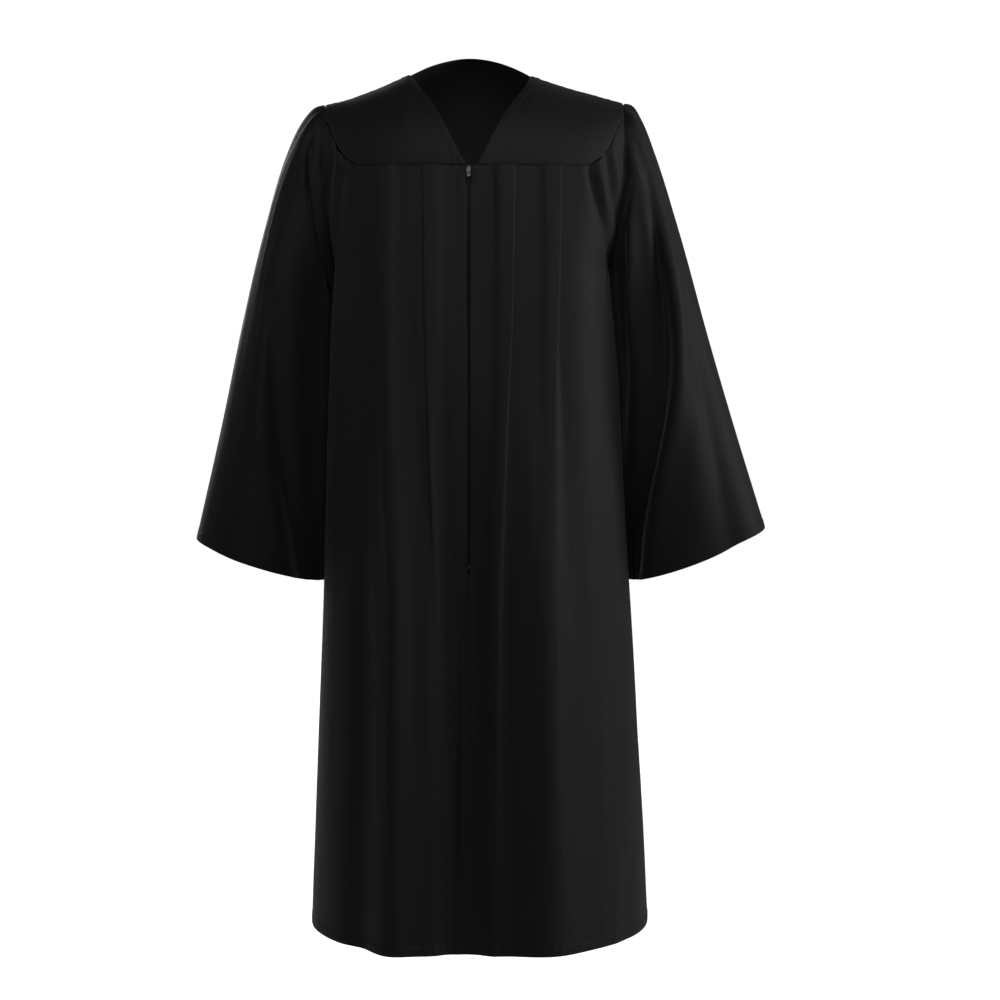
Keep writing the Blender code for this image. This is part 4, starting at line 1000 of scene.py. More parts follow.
def panel_relief(grid, sign, seed, outer_seams):
    """Rolled seams, a stitched hem and puckers, laid on a folded panel."""
    down = lengths(grid, 0)
    across = lengths(grid, 1)
    foot = down[-1:] - down
    height = rolled(down) + puckered(down, across, seed) + stitched_hem(foot, across, seed + 1)
    beside = across[:, -1:] - across
    height += rolled(beside) + puckered(beside, down, seed + 2)
    height += rolled(across) if outer_seams == 1 else rolled(across) + puckered(across, down, seed + 3)
    return grid + outward(grid, False) * (sign * height)[:, :, None], hem_weight(foot)


grids = {}
for side in SIDES:
    grid, turned = panel_relief(front_grid(side), SIDES[side] * FACING["front"], 100, 1)
    grids["front_" + side] = grid
    cloth_piece("front_cloth_" + side, grid, hem=turned)
    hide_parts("front_" + side)

# %% [markdown]
# ## The back
# The back is one panel from side seam to side seam. Its pleats are pressed the same way as those in
# front, and its long folds differ a little from them, as they do on any gown that hangs.

# %% Back
def back_grid():
    """The whole back below the yoke."""
    top = YOKE_SEAM_Z - SEAM_GAP
    rows = []
    for z in rows_down(top, HEM_Z, ROW_STEP * 1.1):
        halves = {}
        for side in SIDES:
            ring, length, out = ring_lengths(side, "back", z)
            end = np.interp(armhole_turn(side, "back", z), ring, length) - BUTT
            t, height = fine_section(side, "back", z, 0.0, end)
            turn = np.interp(t, length, ring)
            x = np.interp(t, length, out)
            down = np.full_like(x, z)
            height = height + fold_heights(BODY_FOLDS["back", side], x, down)
            height += body_streaks(side, "back", x, down) * np.clip(x / 0.02, 0, 1)
            point = body_point(side, "back", turn, down)
            halves[side] = point + body_normal(side, "back", turn, down) * height[:, None]
        middle = (halves["right"][:1] + halves["left"][:1]) / 2
        rows.append(np.concatenate([halves["right"][:0:-1], middle, halves["left"][1:]]))
    return np.array(rows)


grid, turned = panel_relief(back_grid(), 1, 120, 2)
grids["back"] = grid
cloth_piece("back_cloth", grid, hem=turned)
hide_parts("back")

# %% [markdown]
# ## The yoke
# The yoke is two small fronts and one back piece, sewn along the shoulders. It carries all the rest.
# Its neck edge is turned to the inside and stitched, which shows as a flat band along the V.

# %% Front yokes
NECK_BAND = 0.012
YOKE_ROWS = 56
YOKE_COLUMNS = 64


def yoke_lift(share):
    """Rise and depth of the shoulder's round at a share of the way down to the yoke seam."""
    angle = (1 - share) * math.pi / 2
    return np.sin(angle) ** (2 / SHOULDER_POWER), np.cos(angle) ** (2 / SHOULDER_POWER)


def crowded(count):
    """Shares from 0 to 1, closer together at both ends, where the edges roll."""
    plain = np.linspace(0.0, 1.0, count)
    return plain - 0.6 * np.sin(2 * math.pi * plain) / (2 * math.pi)


def turned_band(distance, along, seed):
    """A stitched turned edge, as it shows on the face of the cloth."""
    inside = np.clip((NECK_BAND - distance) / 0.001, 0.0, 1.0)
    trough = -0.0002 * np.exp(-(((distance - NECK_BAND) / 0.0011) ** 2))
    return 0.0002 * inside + trough + puckered(distance - NECK_BAND, along, seed, 0.00012, 0.006)


def band_weight(distance):
    """How much thicker the turned neck edge is, fading over its last millimetres."""
    return 0.6 * np.clip((NECK_BAND - distance) / 0.0025, 0.0, 1.0)


def front_yoke_grid(side):
    """Front yoke: from the neck edge to the armhole, and from the shoulder seam to the yoke seam."""
    rows = []
    for share in crowded(YOKE_ROWS):
        rise, deep = yoke_lift(share)
        inner = float(read(NECK_EDGE[side], "x", share))
        outer, _ = yoke_outer_edge(side, share)
        x = inner + (float(outer) - BUTT * 2 - inner) * crowded(YOKE_COLUMNS)
        z = YOKE_SEAM_Z + (read(SHOULDER[side], "z", x) - YOKE_SEAM_Z) * rise
        ring = shrink(x / half_width(side, "front", YOKE_SEAM_Z), ring_power(YOKE_SEAM_Z))
        y = body_depth("front", YOKE_SEAM_Z) * ring * deep + BUTT + YOKE_PROUD * share
        rows.append(np.stack([SIDES[side] * x, -y, z], axis=-1))
    return np.array(rows)


for side in SIDES:
    grid = front_yoke_grid(side)
    down = lengths(grid, 0)
    across = lengths(grid, 1)
    foot = down[-1:] - down
    outer = across[:, -1:] - across
    height = turned_band(across, down, 140) + rolled(down) + puckered(down, across, 141)
    height += rolled(foot, 0.0004) + puckered(foot, across, 142) + rolled(outer) + puckered(outer, down, 143)
    height += 0.5 * body_streaks(side, "front", np.abs(grid[:, :, 0]), grid[:, :, 2])
    sign = SIDES[side] * FACING["front"]
    grid = grid + outward(grid, False) * (sign * height)[:, :, None]
    grids["yoke_front_" + side] = grid
    name = "yoke_front_" + side
    cloth_piece("yoke_cloth_front_" + side, grid, hem=band_weight(across))
    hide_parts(name)

# %% Back yoke
def back_yoke_grid():
    """Back yoke: from the neck edge and shoulder seams down to the back yoke seam."""
    rows = []
    to_neck = crowded(40)
    to_armhole = crowded(40)[1:]
    for share in crowded(YOKE_ROWS):
        rise, deep = yoke_lift(share)
        halves = {}
        for side in SIDES:
            neck = SHOULDER[side]["x"][0]
            armhole = read(ARMHOLE[side], "x", YOKE_SEAM_Z * (1 - rise) + SHOULDER[side]["z"][-1] * rise)
            x = np.concatenate([neck * to_neck, neck + (armhole - neck) * to_armhole])
            at_neck = shrink(np.minimum(x / neck, 1.0), 2.2)
            top_z = read(SHOULDER[side], "z", np.maximum(x, neck))
            top_z += (BACK_NECK_RISE - top_z) * (1 - np.minimum(x / neck, 1.0) ** 2)
            ring = shrink(x / half_width(side, "back", YOKE_SEAM_Z), ring_power(YOKE_SEAM_Z))
            top_y = BACK_NECK_DEPTH * at_neck
            y = top_y + (body_depth("back", YOKE_SEAM_Z) * ring - top_y) * deep + BUTT + YOKE_PROUD * share
            z = YOKE_SEAM_Z + (top_z - YOKE_SEAM_Z) * rise
            halves[side] = np.stack([SIDES[side] * x, y, z], axis=-1)
        rows.append(np.concatenate([halves["right"][:0:-1], halves["left"]]))
    return eased(np.array(rows), crowded(YOKE_ROWS))


EASE_PASSES = 160


def eased(grid, shares):
    """Cloth bends softly below the neck points: the depth is evened out across each row, but less
    so close to the shoulder seams."""
    much = np.clip(shares / 0.2, 0.0, 1.0)[:, None] / 2
    for _ in range(EASE_PASSES):
        between_two = (grid[:, :-2, 1] + grid[:, 2:, 1]) / 2
        grid[:, 1:-1, 1] += much * (between_two - grid[:, 1:-1, 1])
    return grid


grid = back_yoke_grid()
down = lengths(grid, 0)
across = lengths(grid, 1)
foot = down[-1:] - down
in_neck = np.clip((0.088 - np.abs(grid[:, :, 0])) / 0.01, 0.0, 1.0)
height = rolled(down, 0.0004) + turned_band(down, across, 150) * in_neck + rolled(foot, 0.0004)
height += puckered(foot, across, 151) + rolled(across) + rolled(across[:, -1:] - across)
height += 0.5 * uneven(grid[:, :, 0], grid[:, :, 2], (8, 20), (5, 15), 152) * STREAK
grid = grid + outward(grid, False) * height[:, :, None]
grids["yoke_back"] = grid
cloth_piece("yoke_cloth_back", grid, hem=in_neck * band_weight(down))
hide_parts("yoke_back")

# %% [markdown]
# ## The sleeves
# A bell sleeve is a tube that widens down the arm. Its head is longer than the armhole, so it is
# gathered there, and the gathers let go within a hand's breadth. Its rings lean out from the body,
# fanning round the underarm, and the folds start at the underarm and run down to the hem.

# %% Tables of the sleeves
# Sleeve sections by share of the length down the arm. over and under are the section's outer and
# inner ends, front and back its reach to each side of the line between them.
SLEEVE = {
    "right": table(
        "share over_x over_y over_z under_x under_y under_z front back",
        ((0.0, 0.2060, 0.0, -0.0435, 0.1930, 0.0, -0.2720, 0.055, 0.065),
         (0.02, 0.2180, 0.0, -0.0480, 0.1955, 0.004, -0.2765, 0.061, 0.071),
         (0.055, 0.2345, 0.0, -0.0650, 0.1980, 0.014, -0.2860, 0.067, 0.078),
         (0.14, 0.2605, 0.0, -0.1120, 0.1995, 0.034, -0.3120, 0.074, 0.086),
         (0.31, 0.2940, 0.0, -0.2180, 0.2015, 0.052, -0.3700, 0.086, 0.096),
         (0.54, 0.3290, 0.0, -0.3580, 0.2050, 0.062, -0.4740, 0.100, 0.110),
         (0.77, 0.3610, 0.0, -0.5070, 0.2090, 0.068, -0.6010, 0.110, 0.124),
         (1.0, 0.3985, 0.0, -0.6665, 0.2135, 0.072, -0.7360, 0.118, 0.138)),
    ),
    "left": table(
        "share over_x over_y over_z under_x under_y under_z front back",
        ((0.0, 0.2195, 0.0, -0.0412, 0.1985, 0.0, -0.2720, 0.055, 0.065),
         (0.02, 0.2300, 0.0, -0.0455, 0.2010, 0.004, -0.2765, 0.061, 0.071),
         (0.055, 0.2430, 0.0, -0.0650, 0.2035, 0.014, -0.2860, 0.067, 0.078),
         (0.14, 0.2650, 0.0, -0.1142, 0.2055, 0.034, -0.3120, 0.074, 0.086),
         (0.31, 0.3010, 0.0, -0.2213, 0.2095, 0.052, -0.3700, 0.086, 0.096),
         (0.54, 0.3425, 0.0, -0.3652, 0.2155, 0.062, -0.4740, 0.100, 0.110),
         (0.77, 0.3862, 0.0, -0.5104, 0.2225, 0.068, -0.6010, 0.110, 0.124),
         (1.0, 0.4304, 0.0, -0.6515, 0.2305, 0.072, -0.7370, 0.118, 0.138)),
    ),
}
SLEEVE_POWER = 2.15
ARMHOLE_FADE = 0.14
SLEEVE_STANDOFF = 0.0019

# Folds of the sleeves. turn is in degrees round the section: 0 over the arm, 90 in front, 180 under
# it and 270 behind. height is the rise, below zero a valley, and width the spread in degrees.
SLEEVE_FOLDS = {
    "right": (
        table(
            "share turn height width",
            ((0.02, 46, 0.0, 8), (0.04, 52, -0.004, 8), (0.06, 59, -0.009, 8), (0.08, 74, -0.015, 9),
             (0.10, 93, -0.018, 9), (0.12, 120, -0.018, 10), (0.14, 150, -0.015, 11),
             (0.18, 170, -0.009, 12),
             (0.26, 175, 0.0, 12)),
        ),
        table(
            "share turn height width",
            ((0.36, 66, 0.0, 14), (0.56, 88, -0.009, 13), (0.66, 96, -0.011, 13), (0.78, 109, -0.013, 13),
             (0.90, 127, -0.013, 14), (1.0, 138, -0.013, 14)),
        ),
        table(
            "share turn height width",
            ((0.25, 32, 0.0, 20), (0.60, 38, -0.006, 22), (1.0, 48, -0.008, 26)),
        ),
        table(
            "share turn height width",
            ((0.0, 212, 0.0, 14), (0.05, 212, 0.007, 15), (0.14, 210, 0.011, 16), (0.28, 206, 0.006, 17),
             (0.42, 202, 0.0, 18)),
        ),
        table(
            "share turn height width",
            ((0.0, 285, 0.0, 12), (0.16, 272, -0.009, 12), (0.40, 250, -0.010, 14), (0.75, 236, -0.004, 16),
             (1.0, 230, -0.004, 18)),
        ),
        table(
            "share turn height width",
            ((0.35, 310, 0.0, 16), (0.65, 296, -0.008, 16), (1.0, 286, -0.012, 18)),
        ),
    ),
    "left": (
        table(
            "share turn height width",
            ((0.05, 94, 0.0, 12), (0.14, 98, 0.011, 11), (0.30, 110, 0.018, 11), (0.50, 122, 0.011, 12),
             (0.70, 144, 0.006, 13), (0.85, 162, 0.0, 14)),
        ),
        table(
            "share turn height width",
            ((0.12, 60, 0.0, 12), (0.22, 64, -0.008, 11), (0.30, 73, -0.013, 11), (0.40, 83, -0.017, 11),
             (0.50, 91, -0.019, 11), (0.60, 102, -0.019, 11), (0.70, 119, -0.018, 12),
             (0.80, 136, -0.016, 12), (0.90, 150, -0.014, 12), (1.0, 158, -0.012, 12)),
        ),
        table(
            "share turn height width",
            ((0.22, 46, 0.0, 12), (0.40, 58, 0.008, 12), (0.50, 67, 0.010, 11), (0.60, 80, 0.011, 11),
             (0.70, 96, 0.011, 11), (0.80, 111, 0.011, 12), (1.0, 132, 0.009, 13)),
        ),
        table(
            "share turn height width",
            ((0.15, 24, 0.0, 16), (0.40, 28, -0.014, 18), (0.70, 46, -0.022, 27), (1.0, 62, -0.026, 34)),
        ),
        table(
            "share turn height width",
            ((0.0, 212, 0.0, 14), (0.05, 212, 0.007, 15), (0.14, 210, 0.011, 16), (0.28, 206, 0.006, 17),
             (0.42, 202, 0.0, 18)),
        ),
        table(
            "share turn height width",
            ((0.0, 280, 0.0, 12), (0.18, 270, -0.008, 12), (0.45, 254, -0.011, 14), (0.80, 240, -0.006, 16),
             (1.0, 236, -0.004, 18)),
        ),
        table(
            "share turn height width",
            ((0.30, 314, 0.0, 16), (0.70, 300, -0.009, 16), (1.0, 292, -0.012, 18)),
        ),
    ),
}
# Where the lines of cloth at 72, 108 and 270 degrees of the armhole run on down a sleeve: they keep
# to the folds, so that a fold's crest is an edge of the mesh
SLEEVE_LANES = {
    "right": table(
        "share first second behind",
        ((0.0, 72, 108, 270), (0.10, 68, 110, 272), (0.20, 66, 134, 268), (0.36, 66, 144, 256),
         (0.56, 88, 150, 243), (0.78, 109, 156, 236), (0.90, 127, 159, 233), (1.0, 138, 161, 230)),
    ),
    "left": table(
        "share first second behind",
        ((0.0, 72, 108, 270), (0.12, 64, 98, 272), (0.30, 73, 107, 262), (0.50, 91, 123, 252),
         (0.64, 108, 137, 246), (0.80, 136, 156, 240), (0.90, 150, 164, 238), (1.0, 158, 168, 236)),
    ),
}
LANES_FROM = (0, 72, 108, 180, 270, 360)

# Gathers of the sleeve head, strongest a little below the armhole seam
HEAD_GATHER = table("share height", ((0.0, 0.0), (0.02, 0.0016), (0.06, 0.0022), (0.14, 0.001), (0.26, 0.0)))
HEAD_GATHERS_ROUND = 10

# %% Sleeves
SLEEVE_COLUMNS = 200
SLEEVE_ROWS = 135


def armhole_height(side, turn):
    """Height of the armhole seam, by degrees round it from the shoulder."""
    top = SHOULDER[side]["z"][-1]
    cos = np.cos(np.radians(turn))
    high = np.sign(cos) * np.abs(cos) ** (2 / SLEEVE_POWER)
    return (top + UNDERARM_Z) / 2 + (top - UNDERARM_Z) / 2 * high


def armhole_loop(side, turn):
    """The armhole seam, by degrees round it from the shoulder, over the front and under the arm."""
    top = SHOULDER[side]["z"][-1]
    z = armhole_height(side, turn)
    x = read(ARMHOLE[side], "x", z)
    above = np.clip((z - YOKE_SEAM_Z) / (top - YOKE_SEAM_Z), 0.0, 1.0)
    reach = {}
    for face in FACING:
        width = half_width(side, face, YOKE_SEAM_Z)
        ring = body_depth(face, YOKE_SEAM_Z) * shrink(x / width, ring_power(YOKE_SEAM_Z))
        reach[face] = np.where(z > YOKE_SEAM_Z, ring * shrink(above, SHOULDER_POWER), armhole_reach(face, z))
    y = np.where(turn < 180, -reach["front"], reach["back"])
    return np.stack([SIDES[side] * x, y, z], axis=-1)


def sleeve_section(side, share, turn):
    """One smooth section of a sleeve, by degrees round it."""
    values = {name: read(SLEEVE[side], name, share) for name in SLEEVE[side]}
    sign = SIDES[side]
    over = np.array([sign * values["over_x"], values["over_y"], values["over_z"]])
    under = np.array([sign * values["under_x"], values["under_y"], values["under_z"]])
    cos = np.cos(np.radians(turn))
    sin = np.sin(np.radians(turn))
    along = np.sign(cos) * np.abs(cos) ** (2 / SLEEVE_POWER)
    aside = np.sign(sin) * np.abs(sin) ** (2 / SLEEVE_POWER)
    reach = np.where(sin > 0, values["front"], values["back"])
    point = (over + under) / 2 + (over - under) / 2 * along[:, None]
    point[:, 1] -= aside * reach
    return point


def lane_turn(side, share, turn):
    """Where the lines of cloth that leave the armhole at these turns have come to."""
    lanes = [float(read(SLEEVE_LANES[side], name, share)) for name in ("first", "second", "behind")]
    way = {"from": np.array(LANES_FROM), "to": np.array([0, lanes[0], lanes[1], 180, lanes[2], 360])}
    return read(way, "to", turn)


def sleeve_folds(side, share, turn):
    height = np.zeros_like(turn)
    for fold in SLEEVE_FOLDS[side]:
        away = (turn - read(fold, "turn", share) + 180) % 360 - 180
        height += read(fold, "height", share) * np.exp(-((away / read(fold, "width", share)) ** 2))
    head = np.clip(np.cos(np.radians(turn)) + 0.35, 0.0, 1.0)
    gather = np.cos(np.radians(turn) * HEAD_GATHERS_ROUND)
    return height + gather * head * read(HEAD_GATHER, "height", share)


def sleeve_rows():
    """Shares down a sleeve, closer together at the armhole seam and at the hem."""
    hem = 1 - HEM_ROWS[::-1] / 0.66
    head = np.array([0.0, 0.0012, 0.003, 0.006])
    middle = np.linspace(0.01, hem[0] - 0.004, SLEEVE_ROWS)
    return np.concatenate([head, middle, hem])


def sleeve_grid(side):
    """A bell sleeve from the armhole seam to its open hem, as closed rings."""
    turn = np.arange(SLEEVE_COLUMNS) * 360 / SLEEVE_COLUMNS
    start = armhole_loop(side, turn)
    start[:, 0] += SIDES[side] * SLEEVE_STANDOFF
    shift = start - sleeve_section(side, 0.0, turn)
    smooth = []
    heights = []
    for share in sleeve_rows():
        fade = max(0.0, 1 - share / ARMHOLE_FADE) ** 1.5
        lane = lane_turn(side, share, turn)
        smooth.append(sleeve_section(side, share, lane) + shift * fade)
        heights.append(sleeve_folds(side, share, lane))
    smooth = np.array(smooth)
    height = np.array(heights)
    return smooth + outward(smooth, True) * (SIDES[side] * height)[:, :, None]


for side in SIDES:
    grid = sleeve_grid(side)
    down = lengths(grid, 0)
    foot = down[-1:] - down
    wide = np.concatenate([grid, grid[:, :1]], axis=1)
    across = lengths(wide, 1)[:, :-1]
    around = np.arange(SLEEVE_COLUMNS) / SLEEVE_COLUMNS
    height = rolled(down) + stitched_hem(foot, around + 0 * foot, 160)
    height += STREAK * uneven(around, down, (8, 26), (-3, 3), 161, closed=True)
    grid = grid + outward(grid, True) * (SIDES[side] * height)[:, :, None]
    grids["sleeve_" + side] = grid
    name = "sleeve_" + side
    cloth_piece("sleeve_cloth_" + side, grid, closed=True, hem=hem_weight(foot))
    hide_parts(name)

# %% [markdown]
# ## The zip
# The zip's two tapes are sewn behind the middle edges of the fronts, and its nylon coil closes the slit
# between them. The slider stays at the top, as in the photo. One link of the coil is modelled and
# laid again down the slit, in the way that one stitch is laid along each seam further down.

# %% Shaping tools
def front_face_y(side, x, z):
    """Where the middle of the front's cloth lies, with its long folds."""
    width = half_width(side, "front", np.minimum(z, YOKE_SEAM_Z))
    depth = body_depth("front", z) * shrink(x / width, ring_power(z))
    return -depth - fold_heights(BODY_FOLDS["front", side], x, z)


def centre_y(z):
    return float(front_face_y("left", np.zeros(1), np.full(1, z))[0])


def pick(piece, kind, test):
    """Go into edit mode with only the wanted faces or vertices selected."""
    show_alone(piece)
    bpy.ops.object.mode_set(mode="OBJECT")
    mesh = piece.data
    for part in (*mesh.vertices, *mesh.edges, *mesh.polygons):
        part.select = False
    for part in mesh.polygons if kind == "FACE" else mesh.vertices:
        part.select = bool(test(part.normal if kind == "FACE" else part.co, part))
    bpy.ops.object.mode_set(mode="EDIT")
    bpy.ops.mesh.select_mode(type=kind)


def cut_across(piece, place, normal):
    """Cut a new loop of edges round a piece, square to the normal."""
    show_alone(piece)
    bpy.ops.object.mode_set(mode="EDIT")
    bpy.ops.mesh.select_all(action="SELECT")
    bpy.ops.mesh.bisect(plane_co=place, plane_no=normal)
    bpy.ops.object.mode_set(mode="OBJECT")


def block(name, centre, size):
    """A cube at its size and place, to be shaped further."""
    bpy.ops.object.select_all(action="DESELECT")
    bpy.ops.mesh.primitive_cube_add(size=1, location=centre)
    piece = bpy.context.object
    piece.name = name
    piece.scale = size
    bpy.ops.object.transform_apply(location=True, rotation=True, scale=True)
    return piece


def rod(name, sides, radius, length, along):
    """A rod through the origin along X or Z, to be shaped further."""
    bpy.ops.object.select_all(action="DESELECT")
    turned = (0.0, math.pi / 2, 0.0) if along == "x" else (0.0, 0.0, 0.0)
    bpy.ops.mesh.primitive_cylinder_add(vertices=sides, radius=radius, depth=length, rotation=turned)
    piece = bpy.context.object
    piece.name = name
    bpy.ops.object.transform_apply(location=True, rotation=True, scale=True)
    return piece


def round_edges(piece, width, segments, smooth_degrees=40):
    """Round every sharp edge a little, and smooth the shading."""
    bevel = piece.modifiers.new("rounded", "BEVEL")
    bevel.width = width
    bevel.segments = segments
    bevel.limit_method = "ANGLE"
    bevel.angle_limit = math.radians(35)
    apply_all(piece, smooth_degrees)


def with_tool(piece, other, operation):
    """Join or cut a piece with another one, which is then taken away."""
    modifier = piece.modifiers.new("tool", "BOOLEAN")
    modifier.object = other
    modifier.operation = operation
    modifier.solver = "EXACT"
    show_alone(piece)
    bpy.ops.object.modifier_apply(modifier=modifier.name)
    bpy.data.objects.remove(other)


def finished(piece, body, slot, *nodes):
    """Give a piece its material, its body and the solids that it stands for."""
    piece.data.materials.clear()
    piece.data.materials.append(MATERIALS[slot])
    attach(piece, body)
    for node in nodes:
        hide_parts(node)
    print(piece.name, "faces", len(piece.data.polygons))
    return piece


print("slider centre y", round(centre_y(SLIDER_Z), 4))

# %% Laying one shape again and again
def laid(name, model, places, alongs, outs):
    """Copies of a small model, each with its X along the way and its Z out of the cloth."""
    points = np.array([vertex.co[:] for vertex in model.data.vertices])
    faces = [list(face.vertices) for face in model.data.polygons]
    across = np.cross(outs, alongs)
    across /= np.linalg.norm(across, axis=1, keepdims=True)
    up = np.cross(alongs, across)
    frames = np.stack([alongs, across, up], axis=1)
    moved = places[:, None, :] + np.einsum("pi,kij->kpj", points, frames)
    starts = range(0, len(places) * len(points), len(points))
    all_faces = [[corner + start for corner in face] for start in starts for face in faces]
    mesh = bpy.data.meshes.new(name)
    mesh.from_pydata(moved.reshape(-1, 3).tolist(), [], all_faces)
    piece = bpy.data.objects.new(name, mesh)
    bpy.context.scene.collection.objects.link(piece)
    show_alone(piece)
    bpy.ops.object.shade_smooth_by_angle(angle=math.radians(50))
    return piece


def stepped(path, out, step):
    """Even steps along a path: the place, the way along and the way out at the middle of each."""
    run = np.concatenate([[0.0], np.cumsum(np.linalg.norm(np.diff(path, axis=0), axis=1))])
    at = np.arange(step, run[-1] - step / 2, step)
    places = np.stack([np.interp(at, run, path[:, axis]) for axis in range(3)], axis=1)
    ahead = np.stack([np.interp(at + step / 3, run, path[:, axis]) for axis in range(3)], axis=1)
    alongs = ahead - places
    alongs /= np.maximum(np.linalg.norm(alongs, axis=1, keepdims=True), 1e-12)
    outs = np.stack([np.interp(at, run, out[:, axis]) for axis in range(3)], axis=1)
    return places, alongs, outs / np.linalg.norm(outs, axis=1, keepdims=True)


print("laying tools ready")

# %% Tapes
TAPE_COLUMNS = 14
CORD_HALF = 0.0009


def tape_grid(side):
    """One tape from above the slider to below the stop, with the sewn cord beside the coil raised."""
    rows = []
    for z in np.arange(YOKE_SEAM_Z - 0.002, ZIP_BOTTOM_Z - 0.012, -0.004):
        beside = SLIDER_HALF_WIDTH if z > SLIDER_Z - SLIDER_HALF_HEIGHT - 0.012 else CHAIN_HALF
        x = np.linspace(beside + SEAM_GAP, TAPE_WIDTH, TAPE_COLUMNS)
        cord = 0.00035 * np.exp(-(((x - beside - CORD_HALF) / CORD_HALF) ** 2))
        y = front_face_y(side, x, np.full_like(x, z)) + TAPE_INSET - cord
        rows.append(np.stack([SIDES[side] * x, y, np.full_like(x, z)], axis=-1))
    return np.array(rows)


for side in SIDES:
    name = "zip_tape_" + side
    grids[name] = tape_grid(side)
    cloth_piece("zip_tape_cloth_" + side, grids[name], wall=TAPE_WALL, paint="zip_tape")
    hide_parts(name)

# %% Coil
LINK_PITCH = 0.0015
LINK_RADIUS = 0.0005


def coil_link():
    """One link across the slit, thicker in the middle, where it hooks into the next."""
    link = rod("coil_link", 6, LINK_RADIUS, 2 * CHAIN_HALF, "x")
    for place in (-0.0007, 0.0007):
        cut_across(link, (place, 0.0, 0.0), (1.0, 0.0, 0.0))
    pick(link, "VERT", lambda co, part: abs(co.x) < 0.001)
    bpy.ops.transform.resize(value=(1.0, 1.25, 1.35), center_override=(0.0, 0.0, 0.0))
    bpy.ops.object.mode_set(mode="OBJECT")
    pick(link, "VERT", lambda co, part: abs(co.x) > 0.0015)
    bpy.ops.transform.translate(value=(0.0, 0.0, -0.0003))
    bpy.ops.transform.resize(value=(1.0, 0.8, 0.8), center_override=(0.0, 0.0, -0.0003))
    bpy.ops.object.mode_set(mode="OBJECT")
    return link


link = coil_link()
top_link = SLIDER_Z - SLIDER_HALF_HEIGHT - SEAM_GAP - LINK_PITCH / 2
link_z = np.arange(top_link, ZIP_BOTTOM_Z + LINK_PITCH / 2, -LINK_PITCH)
link_y = np.array([centre_y(z) for z in link_z]) + CHAIN_INSET
link_places = np.stack([0 * link_z, link_y, link_z], axis=1)
chance = np.random.default_rng(7)
link_tilt = chance.uniform(-0.03, 0.03, len(link_z))
link_ways = np.stack([np.cos(link_tilt), 0 * link_tilt, np.sin(link_tilt)], axis=1)
link_outs = np.tile([0.0, -1.0, 0.0], (len(link_z), 1))
coil = laid("zip_coil", link, link_places, link_ways, link_outs)
bpy.data.objects.remove(link)
finished(coil, "gown", "coil", "zip_chain")

# %% Slider
FRONT_Y = centre_y(SLIDER_Z) - SLIDER_FRONT
BACK_Y = centre_y(SLIDER_Z) - SLIDER_BACK
BEVEL = 0.00035


def slider_body():
    """The slider's body: wide shoulders, a narrower foot and a shallow sunk face."""
    size = (2 * SLIDER_HALF_WIDTH, BACK_Y - FRONT_Y, 2 * SLIDER_HALF_HEIGHT)
    body = block("zip_slider_body", (0.0, (FRONT_Y + BACK_Y) / 2, SLIDER_Z), size)
    cut_across(body, (0.0, 0.0, SLIDER_Z + 0.35 * SLIDER_HALF_HEIGHT), (0.0, 0.0, 1.0))
    cut_across(body, (0.0, 0.0, SLIDER_Z - 0.4 * SLIDER_HALF_HEIGHT), (0.0, 0.0, 1.0))
    for height, width in ((1.0, 0.62), (-0.4, 0.82), (-1.0, 0.72)):
        level = SLIDER_Z + height * SLIDER_HALF_HEIGHT
        pick(body, "VERT", lambda co, part: abs(co.z - level) < 0.0001)
        bpy.ops.transform.resize(value=(width, 1.0, 1.0), center_override=(0.0, FRONT_Y, level))
        bpy.ops.object.mode_set(mode="OBJECT")
    pick(body, "FACE", lambda normal, part: normal.y < -0.9)
    bpy.ops.mesh.inset(thickness=0.0007, depth=0.0)
    bpy.ops.transform.translate(value=(0.0, 0.0003, 0.0))
    bpy.ops.object.mode_set(mode="OBJECT")
    round_edges(body, BEVEL, 2)
    return body


def slider_bail():
    """The bail over the slider's face, which the pull tab hangs from."""
    top = FRONT_Y - BAIL_AXIS_RISE - BAIL_TOP_RISE
    centre = (0.0, top + BAIL_STOCK / 2, SLIDER_Z)
    bail = block("zip_slider_bail", centre, (2 * BAIL_HALF_WIDTH, BAIL_STOCK, 2 * BAIL_HALF_LENGTH))
    for way in (-1, 1):
        cut_across(bail, (0.0, 0.0, SLIDER_Z + way * (BAIL_HALF_LENGTH - BAIL_STOCK)), (0.0, 0.0, 1.0))
    ends = BAIL_HALF_LENGTH - BAIL_STOCK
    pick(bail, "FACE", lambda normal, part: normal.y > 0.9 and abs(part.center.z - SLIDER_Z) > ends)
    reach = FRONT_Y + BAIL_STOCK - (top + BAIL_STOCK)
    bpy.ops.mesh.extrude_region_move(TRANSFORM_OT_translate={"value": (0.0, reach, 0.0)})
    bpy.ops.object.mode_set(mode="OBJECT")
    round_edges(bail, 0.0002, 2)
    return bail


slider = slider_body()
with_tool(slider, slider_bail(), "UNION")
slider.name = "zip_slider_cast"
show_alone(slider)
bpy.ops.object.shade_smooth_by_angle(angle=math.radians(40))
finished(slider, "gown", "zip_metal", "zip_slider")

# %% Pull tab
AXIS_Y = FRONT_Y - BAIL_AXIS_RISE


